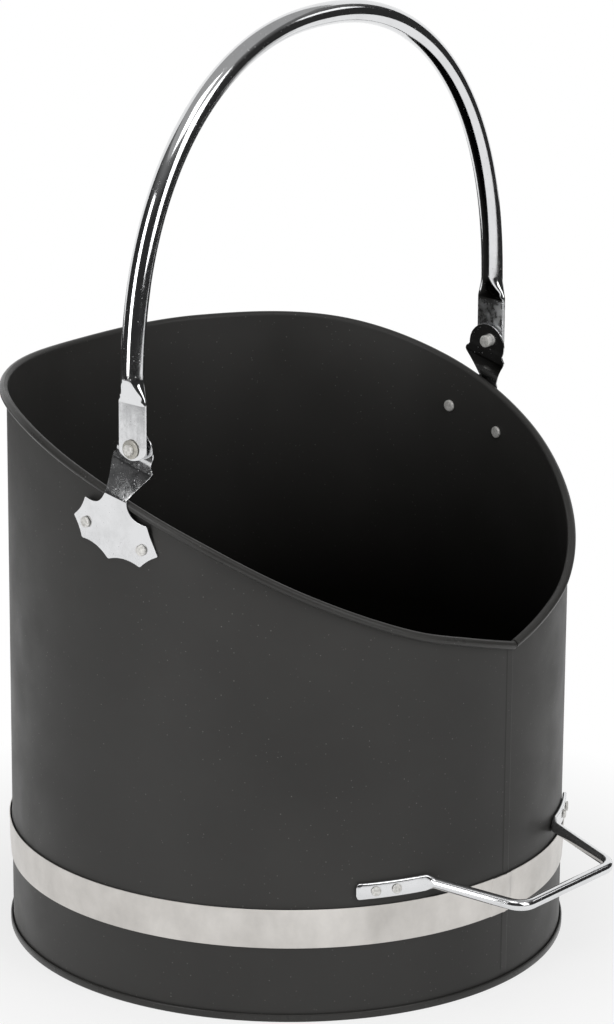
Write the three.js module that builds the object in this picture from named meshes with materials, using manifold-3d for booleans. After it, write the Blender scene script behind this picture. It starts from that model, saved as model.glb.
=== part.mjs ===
// Coal scuttle: a rolled steel drum with a slanted mouth, a chrome band, a swinging
// bail on two stamped ears and a fixed tip handle low on the lip side.
// Millimetres, +Z up. The drum axis is the Z axis, the pouring lip and the body seam
// face -Y, the high back faces +Y and the bail pivots lie at +X and -X.
// Angles around the drum are degrees from the lip, positive towards +X.
import * as THREE from 'three';
import { mergeVertices } from 'three/addons/utils/BufferGeometryUtils.js';
import Module from 'manifold-3d';

const wasm = await Module();
wasm.setup();

// ---- sheet metal ----
const SHEET = 0.8;               // body sheet thickness
const SEAT = 0.3;                // clearance between pieces that are seated on each other
const COLUMN_STEP = 4.5;         // angle between the facets of every ring

// ---- drum ----
const DRUM_RADIUS = 150;         // outside of the plain wall
const WALL_INSIDE = DRUM_RADIUS - SHEET;
// height of the rolled rim's centre at angles from the lip to the high back
const RIM_CURVE = [
  [0, 188.4],
  [12, 197.2],
  [25, 206.8],
  [45, 228.3],
  [70, 258.7],
  [95, 283.9],
  [120, 299.2],
  [150, 301.0],
  [180, 298.6],
];
const CURL_RADIUS = 2.35;        // outside of the rolled rim
const CURL_START = 180;          // the curl springs from the wall at this turn ...
const CURL_END = -118;           // ... and its edge stops here, short of the wall
const CURL_STEPS = 9;
const CURL_INNER_STEPS = 7;
const CURL_SLOT = 0.8;           // slot where the two ends of the curl meet at the seam

// lap seam of the body sheet, down the lip side
const SEAM_WIDTH = 5.4;
const SEAM_RISE = 0.4;
const SEAM_FLANK = 0.5;          // width of the slope on each side of the lap
const SEAM_FOOT = 7.5;           // the lap is pressed flush below this height

// shallow swage that carries the band
const SWAGE_BOTTOM = 35;
const SWAGE_CREST_LOW = 54;
const SWAGE_CREST_HIGH = 58;
const SWAGE_TOP = 67;
const SWAGE_RISE = 0.8;
const SWAGE_STEPS = 3;

// ---- base pan ----
const PAN_SHEET = 0.8;
const PAN_RIM_HEIGHT = 4.2;
const PAN_RIM_THICKNESS = 1.2;   // folded edge around the foot of the wall
const PAN_EDGE_RADIUS = 0.6;

// ---- band ----
const BAND_BOTTOM = 41;
const BAND_TOP = 62.5;
const BAND_THICKNESS = 0.4;
const BAND_SEAT = 0.25;
const BAND_STEPS = 4;
const BAND_LAP_START = -4.6;     // the outer end of the strip covers the inner end from
const BAND_LAP_END = -0.35;      // this angle to this one

// ---- ears ----
const EAR_SHEET = 1;
const EAR_TILT = 13.5;           // the ear stands square to the sloping rim
const EAR_Y = -10;               // midpoint between the two rivets of an ear
const EAR_Z = 253.5;
const EAR_RIVET_OFFSET = 18.2;   // each rivet from that midpoint
// stamped outline, alike on both sides: distance from the middle, height above the rivets
const EAR_POINT_MIDDLE = [0, -12.8];
const EAR_POINT_LOW = [19.4, -9.5];
const EAR_POINT_SIDE = [27.8, -0.1];
const EAR_POINT_TOP = [19.9, 14.6];
const EAR_NECK = [6.7, 23.5];
const EAR_SHOULDER_LOW = [13.7, 38.5];
// control points of the hollow curves between those points
const EAR_HOLLOWS = [[9.2, -6.6], [22.5, -3.8], [22.3, 6.4], [9.1, 12.7], [9.6, 31.2]];
const EAR_CURVE_STEPS = 4;
const EAR_SHOULDER_HIGH = [13.7, 40.6];
const EAR_HEAD_CENTRE = 46.2;
const EAR_HEAD_RADIUS = 12;
const EAR_NOTCH_DROP = 3.2;      // below the head's centre, where head and shoulder meet
const EAR_PIVOT = 48.8;          // pivot above the rivet line, along the ear
const EAR_LIFT_START = 4.5;      // the plate leans away from the wall from here ...
const EAR_LIFT_END = 20;         // ... and stands clear of the rolled rim from here
const EAR_CRANK_START = 23.5;    // above the rim the ear leans inwards ...
const EAR_CRANK_END = 39;        // ... up to its upright head, which the swinging bail passes
const EAR_COLUMNS = 8;
const EAR_MARGIN = 3;            // the formed blank is larger than the outline by this much

// ---- bail ----
const BAIL_TUBE_RADIUS = 6;
const BAIL_INSET = 2.5;          // the legs stand inside the drum's outside by this much
const BAIL_HALF_SPAN = DRUM_RADIUS - BAIL_INSET;
const BAIL_SPRING = 30;          // the legs are straight up to this height above the pivots
const BAIL_RISE = 171;
const BAIL_FULLNESS = 2.2;       // exponent of the arch: 2 is an ellipse
const BAIL_STEPS = 34;
const BAIL_FLAT_THICKNESS = 2.4;
const BAIL_FLAT_WIDTH = 18.2;
const BAIL_CREASE = 24;          // the flattened ends reach this far above the pivots
const BAIL_CREASE_LENGTH = 13;   // and swell to the full tube within this length
const BAIL_CREASE_STEPS = 5;
const BAIL_END_DROP = 6;         // shallow rounded tip below the pivot
const BAIL_END_RADIUS = 12.8;
const BAIL_END_SHARES = [0.02, 0.3, 1]; // heights of its sections, as shares of the rounded part
const BAIL_SIDES = 16;
const FLAT_CORNERS = 0.45;       // exponent of a flattened section; a round one has 1

// inside of an ear's head, next to the flattened end of the bail
const HEAD_X = BAIL_HALF_SPAN - BAIL_FLAT_THICKNESS / 2 - SEAT - EAR_SHEET;

// ---- pivot rivets and washers ----
const PIVOT_SHAFT = 2.5;
const PIVOT_HOLE = 2.7;
const WASHER_RADIUS = 5;
const WASHER_THICKNESS = 1;
const WASHER_EDGE = 0.3;
const WASHER_SIDES = 20;

// ---- tip handle ----
const ROD_RADIUS = 3;
const FOOT_WIDTH = 9.2;
const FOOT_THICKNESS = 2.2;
const FOOT_Z = 71;
const FOOT_END_ANGLE = 35.8;
const FOOT_NECK_ANGLE = 22.6;
const FOOT_RIVET_ANGLES = [32.4, 28.1];
const NECK_RADIUS = 7;           // bend between foot and arm
const FOOT_STEPS = 5;
const FOOT_TIP = 0.5;            // angle over which the end of a foot is rounded off ...
const FOOT_TIP_WIDTH = 0.7;      // ... to these shares of its width and thickness
const FOOT_TIP_THICKNESS = 0.8;
const NECK_STEPS = 5;
const NECK_LEAD = 1;             // the last full section of a foot, ahead of the bend
const NECK_SETBACK = 2;          // where the lines of foot and arm would cross, past its start
const TIP_HALF_WIDTH = 39;       // where the straight arm and the front bar would cross,
const TIP_REACH = 41;            // ahead of the drum's outside
const TIP_BAR_Z = 65.4;
const CORNER_RADIUS = 10;
const CORNER_STEPS = 6;
const ROD_SIDES = 12;

// ---- rivets ----
const RIVET_SIDES = 12;
const EAR_RIVET = { shaft: 2, head: 2.95, headHeight: 1.3, end: 3.6, endHeight: 1.2 };
const FOOT_RIVET = { shaft: 1.6, head: 2.6, headHeight: 1, end: 2.7, endHeight: 1.2 };
const PIVOT_RIVET = { shaft: PIVOT_SHAFT, head: 2.8, headHeight: 1.7, end: 3.8, endHeight: 2.8 };
const HEAD_FLAT = 0.72;          // share of a rivet head's radius that is flat
const HEAD_WALL = 0.45;          // share of its height that is upright
const RIVET_HOLE_CLEARANCE = 0.2;
const INSIDE_SEAT = 0.35;        // formed rivet ends clear the facets of the inner wall
const DRILL_REACH = 12;          // half length of the tools that cut the holes

const finish = (color, roughness, metalness) =>
  new THREE.MeshStandardMaterial({ color, roughness, metalness });
const blackCoat = finish(0x353433, 0.55, 0.1);
const chrome = finish(0xd9dbdd, 0.12, 1);
const satinSteel = finish(0xc8c6c2, 0.38, 1);
const rivetMetal = finish(0xcfcdc6, 0.35, 1);

const SIDEWAYS = new THREE.Vector3(1, 0, 0);
const rad = THREE.MathUtils.degToRad;
const lerp = THREE.MathUtils.lerp;

// ---- helpers ----
const around = (radius, angle, z) =>
  new THREE.Vector3(radius * Math.sin(rad(angle)), -radius * Math.cos(rad(angle)), z);

function signedVolume(points, faces) {
  let sum = 0;
  for (const [a, b, c] of faces) {
    sum += points[a].dot(points[b].clone().cross(points[c]));
  }
  return sum / 6;
}

// An indexed geometry from points and triangles, turned so that its faces point outwards.
function solid(points, faces) {
  const outward = signedVolume(points, faces) > 0;
  const index = faces.flatMap(([a, b, c]) => (outward ? [a, b, c] : [a, c, b]));
  const geometry = new THREE.BufferGeometry();
  geometry.setAttribute('position', new THREE.Float32BufferAttribute(points.flatMap((p) => p.toArray()), 3));
  geometry.setIndex(index);
  return geometry;
}

// Two ways to close the first and the last loop of a row: a fan from one point, and a
// strip across a loop that runs out along one face of a sheet and back along the other.
function fanCap(base, size) {
  return Array.from({ length: size - 2 }, (_, i) => [base, base + i + 1, base + i + 2]);
}

function stripCap(base, size) {
  return Array.from({ length: size / 2 - 1 }, (_, i) => {
    const k = size - 1 - i;
    return [[base + i, base + i + 1, base + k - 1], [base + i, base + k - 1, base + k]];
  }).flat();
}

// Joins loops of equally many points into a skin. Without a cap the last loop joins the
// first one to a ring.
function loft(loops, cap) {
  const size = loops[0].length;
  const faces = [];
  const rows = cap ? loops.length - 1 : loops.length;
  for (let row = 0; row < rows; row += 1) {
    const a = row * size;
    const b = ((row + 1) % loops.length) * size;
    for (let i = 0; i < size; i += 1) {
      const j = (i + 1) % size;
      faces.push([a + i, b + i, b + j], [a + i, b + j, a + j]);
    }
  }
  if (cap) {
    faces.push(...cap(0, size));
    faces.push(...cap((loops.length - 1) * size, size).map(([p, q, r]) => [p, r, q]));
  }
  return solid(loops.flat(), faces);
}

function toManifold(geometry) {
  const bare = geometry.clone();
  bare.deleteAttribute('normal');
  bare.deleteAttribute('uv');
  const merged = mergeVertices(bare, 1e-4);
  return new wasm.Manifold(new wasm.Mesh({
    numProp: 3,
    vertProperties: new Float32Array(merged.attributes.position.array),
    triVerts: new Uint32Array(merged.index.array),
  }));
}

function fromManifold(body) {
  const mesh = body.getMesh();
  const geometry = new THREE.BufferGeometry();
  geometry.setAttribute('position', new THREE.BufferAttribute(Float32Array.from(mesh.vertProperties), 3));
  geometry.setIndex(new THREE.BufferAttribute(Uint32Array.from(mesh.triVerts), 1));
  return geometry;
}

const cut = (geometry, tools) =>
  fromManifold(tools.reduce((body, tool) => body.subtract(toManifold(tool)), toManifold(geometry)));

// A round tool through a point along a direction.
const drill = (through, direction, radius) =>
  place(new THREE.CylinderGeometry(radius, radius, 2 * DRILL_REACH, RIVET_SIDES), through, direction);

const drillFor = ({ spot, outward, rivet }) => drill(spot, outward, rivet.shaft + RIVET_HOLE_CLEARANCE);

// Stands a geometry made along +Y at an origin, along a direction.
function place(geometry, origin, direction) {
  const turn = new THREE.Quaternion().setFromUnitVectors(new THREE.Vector3(0, 1, 0), direction);
  return geometry.applyQuaternion(turn).translate(origin.x, origin.y, origin.z);
}

// Facet angles shared by every ring, with extra ones where the seam needs them.
function ringAngles(extra) {
  const angles = [];
  for (let angle = -180; angle < 180; angle += COLUMN_STEP) {
    angles.push(angle);
  }
  return [...angles, ...extra].sort((a, b) => a - b);
}

// Height of the rim's centre: a smooth curve through RIM_CURVE, the same on both sides.
function rimHeight(angle) {
  const a = Math.abs(angle);
  const slope = (i) => {
    if (i === RIM_CURVE.length - 1) {
      return 0;
    }
    const low = RIM_CURVE[Math.max(i - 1, 0)];
    const high = RIM_CURVE[i + 1];
    return (high[1] - low[1]) / (high[0] - low[0]);
  };
  const i = Math.min(RIM_CURVE.findLastIndex((knot) => knot[0] <= a), RIM_CURVE.length - 2);
  const [a0, z0] = RIM_CURVE[i];
  const [a1, z1] = RIM_CURVE[i + 1];
  const span = a1 - a0;
  const t = (a - a0) / span;
  return z0 * (1 + 2 * t) * (1 - t) ** 2
    + slope(i) * span * t * (1 - t) ** 2
    + z1 * t * t * (3 - 2 * t)
    + slope(i + 1) * span * t * t * (t - 1);
}

const swageRise = (z) => {
  const up = THREE.MathUtils.smoothstep(z, SWAGE_BOTTOM, SWAGE_CREST_LOW);
  const down = 1 - THREE.MathUtils.smoothstep(z, SWAGE_CREST_HIGH, SWAGE_TOP);
  return SWAGE_RISE * Math.min(up, down);
};

const steps = (from, to, count) => Array.from({ length: count + 1 }, (_, i) => lerp(from, to, i / count));

const degreesAt = (width, radius) => THREE.MathUtils.radToDeg(width / radius);
const SEAM_HALF = degreesAt(SEAM_WIDTH / 2, DRUM_RADIUS);
const SEAM_EDGE = SEAM_HALF + degreesAt(SEAM_FLANK, DRUM_RADIUS);

const seamRise = (angle) => SEAM_RISE * (1 - THREE.MathUtils.clamp(
  (Math.abs(angle) - SEAM_HALF) / (SEAM_EDGE - SEAM_HALF), 0, 1));

// ---- body shell: one rolled sheet with swage, lap seam and curled rim ----
// Each column of the sheet is one section: up the inside, out around the hollow curl, back
// inside it and down the outside. The section climbs with the slanted mouth.
function bodyShell() {
  const foot = PAN_SHEET + SEAT;
  const curlCentre = WALL_INSIDE + CURL_RADIUS;
  const swageHeights = [
    ...steps(SWAGE_BOTTOM, SWAGE_CREST_LOW, SWAGE_STEPS),
    ...steps(SWAGE_CREST_HIGH, SWAGE_TOP, SWAGE_STEPS),
  ];
  const loops = ringAngles([-SEAM_EDGE, -SEAM_HALF, SEAM_HALF, SEAM_EDGE]).map((angle) => {
    const rim = rimHeight(angle);
    const lap = seamRise(angle);
    const curl = (radius, turn) =>
      around(curlCentre + radius * Math.cos(rad(turn)), angle, rim + radius * Math.sin(rad(turn)));
    return [
      around(WALL_INSIDE, angle, foot),
      ...swageHeights.map((z) => around(WALL_INSIDE + swageRise(z), angle, z)),
      ...steps(CURL_START, CURL_END, CURL_STEPS).map((turn) => curl(CURL_RADIUS, turn)),
      ...steps(CURL_END, CURL_START, CURL_INNER_STEPS).slice(0, -1)
        .map((turn) => curl(CURL_RADIUS - SHEET, turn)),
      around(DRUM_RADIUS, angle, rim),
      around(DRUM_RADIUS + lap, angle, rim - CURL_RADIUS - SHEET),
      ...swageHeights.toReversed().map((z) => around(DRUM_RADIUS + swageRise(z) + lap, angle, z)),
      around(DRUM_RADIUS + lap, angle, SEAM_FOOT + SHEET),
      around(DRUM_RADIUS, angle, SEAM_FOOT),
      around(DRUM_RADIUS, angle, foot),
    ];
  });
  const slotSize = 4 * CURL_RADIUS;
  const slot = new THREE.BoxGeometry(CURL_SLOT, slotSize, slotSize);
  slot.translate(SEAM_WIDTH / 4, -DRUM_RADIUS - SEAT - slotSize / 2, rimHeight(0));
  return cut(loft(loops), [slot, ...[...earRivetSpots(), ...footRivetSpots()].map(drillFor)]);
}

// ---- base pan: a flat disc with its edge folded up around the foot of the wall ----
function basePan() {
  const inside = DRUM_RADIUS + SEAT;
  const outside = inside + PAN_RIM_THICKNESS;
  const edge = PAN_EDGE_RADIUS;
  const profile = [
    [0, 0],
    [outside - edge, 0],
    [outside, edge],
    [outside, PAN_RIM_HEIGHT - edge],
    [outside - edge, PAN_RIM_HEIGHT],
    [inside, PAN_RIM_HEIGHT - edge / 2],
    [inside, PAN_SHEET],
    [0, PAN_SHEET],
  ].map(([radius, z]) => new THREE.Vector2(radius, z));
  const geometry = new THREE.LatheGeometry(profile, 360 / COLUMN_STEP);
  return welded(geometry.rotateX(Math.PI / 2));
}

// Welds a turned geometry, which also drops its empty triangles on the axis.
const welded = (geometry) => fromManifold(toManifold(geometry));

// ---- band: one strip of bright steel around the swage, its ends lapped at the seam ----
// The stiff strip follows the swage up to its crest and stands straight above it.
function band() {
  const flank = degreesAt(SEAM_FLANK, DRUM_RADIUS);
  const drape = SEAM_EDGE + flank;
  const seamAngles = [-drape, -SEAM_EDGE, SEAM_EDGE, drape];
  const lapAngles = [BAND_LAP_START - flank, BAND_LAP_START, BAND_LAP_END, BAND_LAP_END + flank / 4];
  const heights = steps(BAND_BOTTOM, BAND_TOP, BAND_STEPS);
  const inside = (z) => DRUM_RADIUS + swageRise(Math.min(z, SWAGE_CREST_LOW)) + BAND_SEAT;
  const loops = ringAngles([...seamAngles, ...lapAngles]).map((angle) => {
    const overSeam = Math.abs(angle) <= SEAM_EDGE ? SEAM_RISE : 0;
    const lapped = angle >= BAND_LAP_START && angle <= BAND_LAP_END ? BAND_THICKNESS : 0;
    const outside = overSeam + BAND_THICKNESS + lapped;
    return [
      ...heights.map((z) => around(inside(z) + overSeam, angle, z)),
      ...heights.toReversed().map((z) => around(inside(z) + outside, angle, z)),
    ];
  });
  return loft(loops);
}

// ---- ears ----
// A point of the ear's plan: u runs along the plate towards the lip, v runs up the ear.
function earPlan(u, v) {
  const tilt = rad(EAR_TILT);
  return {
    y: EAR_Y - u * Math.cos(tilt) - v * Math.sin(tilt),
    z: EAR_Z - u * Math.sin(tilt) + v * Math.cos(tilt),
  };
}

const PIVOT = earPlan(0, EAR_PIVOT);

const shareOf = (value, start, end) => THREE.MathUtils.clamp((value - start) / (end - start), 0, 1);

// Middle surface of the formed ear: on the wall at the rivets, out over the rolled rim,
// then leaning inwards to an upright head that the bail pivots on.
function earSurface(u, v) {
  const { y, z } = earPlan(u, v);
  const lift = shareOf(v, EAR_LIFT_START, EAR_LIFT_END);
  const onWall = DRUM_RADIUS + SEAT + EAR_SHEET / 2;
  const overRim = WALL_INSIDE + 2 * CURL_RADIUS + SEAT + EAR_SHEET / 2;
  const radius = lerp(onWall, overRim, lift);
  const crank = shareOf(v, EAR_CRANK_START, EAR_CRANK_END);
  const x = lerp(Math.sqrt(radius * radius - y * y), HEAD_X + EAR_SHEET / 2, crank);
  return new THREE.Vector3(x, y, z);
}

function earOutline() {
  const shape = new THREE.Shape();
  const notchAngle = Math.asin(-EAR_NOTCH_DROP / EAR_HEAD_RADIUS);
  const points = [
    EAR_POINT_MIDDLE, EAR_POINT_LOW, EAR_POINT_SIDE, EAR_POINT_TOP, EAR_NECK, EAR_SHOULDER_LOW,
  ];
  const last = points.length - 1;
  shape.moveTo(...EAR_POINT_MIDDLE);
  EAR_HOLLOWS.forEach((hollow, i) => shape.quadraticCurveTo(...hollow, ...points[i + 1]));
  shape.lineTo(...EAR_SHOULDER_HIGH);
  shape.absarc(0, EAR_HEAD_CENTRE, EAR_HEAD_RADIUS, notchAngle, Math.PI - notchAngle, false);
  shape.lineTo(-EAR_SHOULDER_HIGH[0], EAR_SHOULDER_HIGH[1]);
  shape.lineTo(-EAR_SHOULDER_LOW[0], EAR_SHOULDER_LOW[1]);
  EAR_HOLLOWS.toReversed().forEach(([cu, cv], i) => {
    const [u, v] = points[last - 1 - i];
    shape.quadraticCurveTo(-cu, cv, -u, v);
  });
  return shape;
}

// The ear on the +X side: a strip of sheet, formed over the rim and trimmed to the outline.
function ear() {
  const reach = EAR_POINT_SIDE[0] + EAR_MARGIN;
  const columns = steps(-reach, reach, EAR_COLUMNS);
  const rows = [
    EAR_POINT_MIDDLE[1] - EAR_MARGIN,
    EAR_LIFT_START,
    EAR_LIFT_END,
    EAR_CRANK_START,
    EAR_CRANK_END,
    EAR_HEAD_CENTRE + EAR_HEAD_RADIUS + EAR_MARGIN,
  ];
  const normalAt = (u, v) => {
    const along = earSurface(u + 1, v).sub(earSurface(u - 1, v));
    const up = earSurface(u, v + 1).sub(earSurface(u, v - 1));
    return up.cross(along).normalize();
  };
  const face = (side) => rows.map((v) => columns.map((u) =>
    earSurface(u, v).addScaledVector(normalAt(u, v), side * EAR_SHEET / 2)));
  const inner = face(-1);
  const outer = face(1);
  const blank = toManifold(loft(rows.map((_, i) => [...inner[i], ...outer[i].toReversed()]), stripCap));
  const overRim = DRUM_RADIUS + 2 * CURL_RADIUS + EAR_SHEET;
  const trim = new THREE.ExtrudeGeometry(earOutline(), {
    depth: overRim - HEAD_X + 2 * EAR_MARGIN, bevelEnabled: false, curveSegments: EAR_CURVE_STEPS,
  });
  const position = trim.attributes.position;
  for (let i = 0; i < position.count; i += 1) {
    const { y, z } = earPlan(position.getX(i), position.getY(i));
    position.setXYZ(i, HEAD_X - EAR_MARGIN + position.getZ(i), y, z);
  }
  const trimmed = fromManifold(blank.intersect(toManifold(reversed(trim))));
  const pivotHole = drill(new THREE.Vector3(HEAD_X, PIVOT.y, PIVOT.z), SIDEWAYS, PIVOT_HOLE);
  const rivetHoles = earRivetSpots().filter(({ side }) => side > 0).map(drillFor);
  return cut(trimmed, [pivotHole, ...rivetHoles]);
}

// Turns every triangle around, as a mirrored geometry needs.
function reversed(geometry) {
  const plain = geometry.index ? geometry.toNonIndexed() : geometry;
  const position = plain.attributes.position;
  for (let i = 0; i < position.count; i += 3) {
    const second = new THREE.Vector3().fromBufferAttribute(position, i + 1);
    const third = new THREE.Vector3().fromBufferAttribute(position, i + 2);
    position.setXYZ(i + 1, third.x, third.y, third.z);
    position.setXYZ(i + 2, second.x, second.y, second.z);
  }
  return plain;
}

// Where the ear rivets go, on both sides.
function earRivetSpots() {
  return [-1, 1].flatMap((side) => [-1, 1].map((end) => {
    const { y, z } = earPlan(end * EAR_RIVET_OFFSET, 0);
    const spot = new THREE.Vector3(side * Math.sqrt(DRUM_RADIUS ** 2 - y * y), y, z);
    return { spot, outward: spot.clone().setZ(0).normalize(), rivet: EAR_RIVET, side, end };
  }));
}

function footRivetSpots() {
  return [-1, 1].flatMap((side) => FOOT_RIVET_ANGLES.map((angle, end) => {
    const spot = around(DRUM_RADIUS, side * angle, FOOT_Z);
    return { spot, outward: spot.clone().setZ(0).normalize(), rivet: FOOT_RIVET, side, end };
  }));
}

// ---- rivets: low flat head, shank and a formed end, turned about their axis ----
function rivetAt(foot, outward, rivet, grip) {
  const { shaft, head, headHeight, end, endHeight } = rivet;
  const bottom = -grip - endHeight;
  const profile = [
    [0, bottom],
    [end * HEAD_FLAT, bottom],
    [end, bottom + endHeight * (1 - HEAD_WALL)],
    [end, -grip],
    [shaft, -grip],
    [shaft, 0],
    [head, 0],
    [head, headHeight * HEAD_WALL],
    [head * HEAD_FLAT, headHeight],
    [0, headHeight],
  ].map(([radius, y]) => new THREE.Vector2(radius, y));
  return welded(place(new THREE.LatheGeometry(profile, RIVET_SIDES), foot, outward));
}

// A rivet through the wall and the piece seated on it.
function wallRivet({ spot, outward, rivet }, stack) {
  const grip = stack + SHEET + INSIDE_SEAT;
  return rivetAt(spot.clone().addScaledVector(outward, stack), outward, rivet, grip);
}

// ---- swept bars: a rounded section carried along a path ----
// Each station has a centre, a half width along `wide` and a half thickness across it.
function sweptBar(stations, wide, sides) {
  const loops = stations.map((station, i) => {
    const before = stations[Math.max(i - 1, 0)].centre;
    const after = stations[Math.min(i + 1, stations.length - 1)].centre;
    const along = after.clone().sub(before).normalize();
    const across = wide.clone().addScaledVector(along, -wide.dot(along)).normalize();
    const thick = along.clone().cross(across);
    const square = 1 - station.thickness / station.width;
    return Array.from({ length: sides }, (_, k) => {
      const turn = 2 * Math.PI * (k + 0.5) / sides;
      const power = lerp(1, FLAT_CORNERS, square);
      const round = (value) => Math.sign(value) * Math.abs(value) ** power;
      return station.centre.clone()
        .addScaledVector(across, station.width * round(Math.cos(turn)))
        .addScaledVector(thick, station.thickness * round(Math.sin(turn)));
    });
  });
  return loft(loops, fanCap);
}

// ---- bail: a tube bent to an arch, its two ends flattened for the pivots ----
function bail() {
  const creaseLow = PIVOT.z + BAIL_CREASE;
  const creaseHigh = creaseLow + BAIL_CREASE_LENGTH;
  const flat = BAIL_FLAT_THICKNESS / 2;
  const broad = BAIL_FLAT_WIDTH / 2;
  const tip = PIVOT.z - BAIL_END_DROP;
  const corner = BAIL_END_RADIUS - Math.sqrt(BAIL_END_RADIUS ** 2 - broad ** 2);
  const end = BAIL_END_SHARES.map((share) => {
    const height = share * corner;
    const width = Math.sqrt(2 * BAIL_END_RADIUS * height - height ** 2);
    return { x: BAIL_HALF_SPAN, z: tip + height, width, thickness: flat };
  });
  const crease = steps(0, 1, BAIL_CREASE_STEPS).map((share) => {
    const z = lerp(creaseLow, creaseHigh, share);
    const swell = Math.sin(share * Math.PI / 2);
    const width = lerp(broad, BAIL_TUBE_RADIUS, THREE.MathUtils.smoothstep(share, 0, 1));
    return { x: archX(z), z, width, thickness: lerp(flat, BAIL_TUBE_RADIUS, swell) };
  });
  const rise = Math.max(creaseHigh + BAIL_TUBE_RADIUS / 2 - PIVOT.z - BAIL_SPRING, 0);
  const first = Math.asin((rise / BAIL_RISE) ** (BAIL_FULLNESS / 2));
  const arch = steps(first, Math.PI / 2, BAIL_STEPS / 2).map((turn) => ({
    x: BAIL_HALF_SPAN * Math.max(Math.cos(turn), 0) ** (2 / BAIL_FULLNESS),
    z: PIVOT.z + BAIL_SPRING + BAIL_RISE * Math.sin(turn) ** (2 / BAIL_FULLNESS),
    width: BAIL_TUBE_RADIUS,
    thickness: BAIL_TUBE_RADIUS,
  }));
  arch.at(-1).x = 0;
  const half = [...end, ...crease, ...arch];
  const mirrored = half.slice(0, -1).toReversed().map((station) => ({ ...station, x: -station.x }));
  const stations = [...half, ...mirrored].map(({ x, z, width, thickness }) =>
    ({ centre: new THREE.Vector3(x, PIVOT.y, z), width, thickness }));
  const bar = sweptBar(stations, new THREE.Vector3(0, 1, 0), BAIL_SIDES);
  const holes = [-1, 1].map((side) =>
    drill(new THREE.Vector3(side * BAIL_HALF_SPAN, PIVOT.y, PIVOT.z), SIDEWAYS, PIVOT_HOLE));
  return cut(bar, holes);
}

// Half span of the arch at a height.
function archX(z) {
  const t = Math.max(z - PIVOT.z - BAIL_SPRING, 0) / BAIL_RISE;
  return BAIL_HALF_SPAN * (1 - t ** BAIL_FULLNESS) ** (1 / BAIL_FULLNESS);
}

// ---- washers under the heads of the pivot rivets ----
const WASHER_X = BAIL_HALF_SPAN + BAIL_FLAT_THICKNESS / 2 + SEAT;

function washer(side) {
  const profile = [
    [PIVOT_HOLE, 0],
    [WASHER_RADIUS, 0],
    [WASHER_RADIUS, WASHER_THICKNESS - WASHER_EDGE],
    [WASHER_RADIUS - WASHER_EDGE, WASHER_THICKNESS],
    [PIVOT_HOLE, WASHER_THICKNESS],
    [PIVOT_HOLE, 0],
  ].map(([radius, y]) => new THREE.Vector2(radius, y));
  const origin = new THREE.Vector3(side * WASHER_X, PIVOT.y, PIVOT.z);
  const outward = SIDEWAYS.clone().multiplyScalar(side);
  return welded(place(new THREE.LatheGeometry(profile, WASHER_SIDES), origin, outward));
}

function pivotRivet(side) {
  const headFoot = WASHER_X + WASHER_THICKNESS + SEAT / 2;
  const grip = headFoot - HEAD_X + SEAT;
  const origin = new THREE.Vector3(side * headFoot, PIVOT.y, PIVOT.z);
  return rivetAt(origin, SIDEWAYS.clone().multiplyScalar(side), PIVOT_RIVET, grip);
}

// ---- tip handle: a bent rod with both ends flattened against the wall ----
// Points of a bend that rounds the corner between two straight lines.
function bend(before, corner, after, radius, count) {
  const inward = before.clone().sub(corner).normalize();
  const outward = after.clone().sub(corner).normalize();
  const half = inward.angleTo(outward) / 2;
  const reach = radius / Math.tan(half);
  const middle = inward.clone().add(outward).normalize();
  const centre = corner.clone().addScaledVector(middle, radius / Math.sin(half));
  const start = corner.clone().addScaledVector(inward, reach).sub(centre);
  const end = corner.clone().addScaledVector(outward, reach).sub(centre);
  const sweep = start.angleTo(end);
  return steps(0, 1, count).map((t) => centre.clone()
    .addScaledVector(start, Math.sin((1 - t) * sweep) / Math.sin(sweep))
    .addScaledVector(end, Math.sin(t * sweep) / Math.sin(sweep)));
}

function tipHandle() {
  const footRadius = DRUM_RADIUS + SEAT + FOOT_THICKNESS / 2;
  const footSize = { width: FOOT_WIDTH / 2, thickness: FOOT_THICKNESS / 2 };
  const onFoot = (angle) => around(footRadius, angle, FOOT_Z);
  const corner = new THREE.Vector3(TIP_HALF_WIDTH, -DRUM_RADIUS - TIP_REACH, TIP_BAR_Z);
  const mirror = corner.clone().setX(-corner.x);
  const neck = onFoot(FOOT_NECK_ANGLE - NECK_SETBACK);
  const neckBend = bend(onFoot(FOOT_NECK_ANGLE), neck, corner, NECK_RADIUS, NECK_STEPS);
  const tipSize = {
    width: footSize.width * FOOT_TIP_WIDTH,
    thickness: footSize.thickness * FOOT_TIP_THICKNESS,
  };
  const footAngles = steps(FOOT_END_ANGLE, FOOT_NECK_ANGLE + NECK_LEAD, FOOT_STEPS);
  const half = [
    { centre: onFoot(FOOT_END_ANGLE + FOOT_TIP), ...tipSize },
    ...footAngles.map((angle) => ({ centre: onFoot(angle), ...footSize })),
    ...neckBend.map((centre, i) => {
      const t = THREE.MathUtils.smoothstep(i, 0, NECK_STEPS);
      const width = lerp(footSize.width, ROD_RADIUS, t);
      return { centre, width, thickness: lerp(footSize.thickness, ROD_RADIUS, t) };
    }),
    ...bend(neck, corner, mirror, CORNER_RADIUS, CORNER_STEPS).map((centre) =>
      ({ centre, width: ROD_RADIUS, thickness: ROD_RADIUS })),
  ];
  const other = half.toReversed().map(({ centre, ...size }) =>
    ({ centre: centre.clone().setX(-centre.x), ...size }));
  const bar = sweptBar([...half, ...other], new THREE.Vector3(0, 0, 1), ROD_SIDES);
  return cut(bar, footRivetSpots().map(drillFor));
}

// ---- assembly ----
const scuttle = new THREE.Group();
scuttle.name = 'coal_scuttle';

function add(name, geometry, material) {
  geometry.computeVertexNormals();
  const mesh = new THREE.Mesh(geometry, material);
  mesh.name = name;
  scuttle.add(mesh);
}

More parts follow.
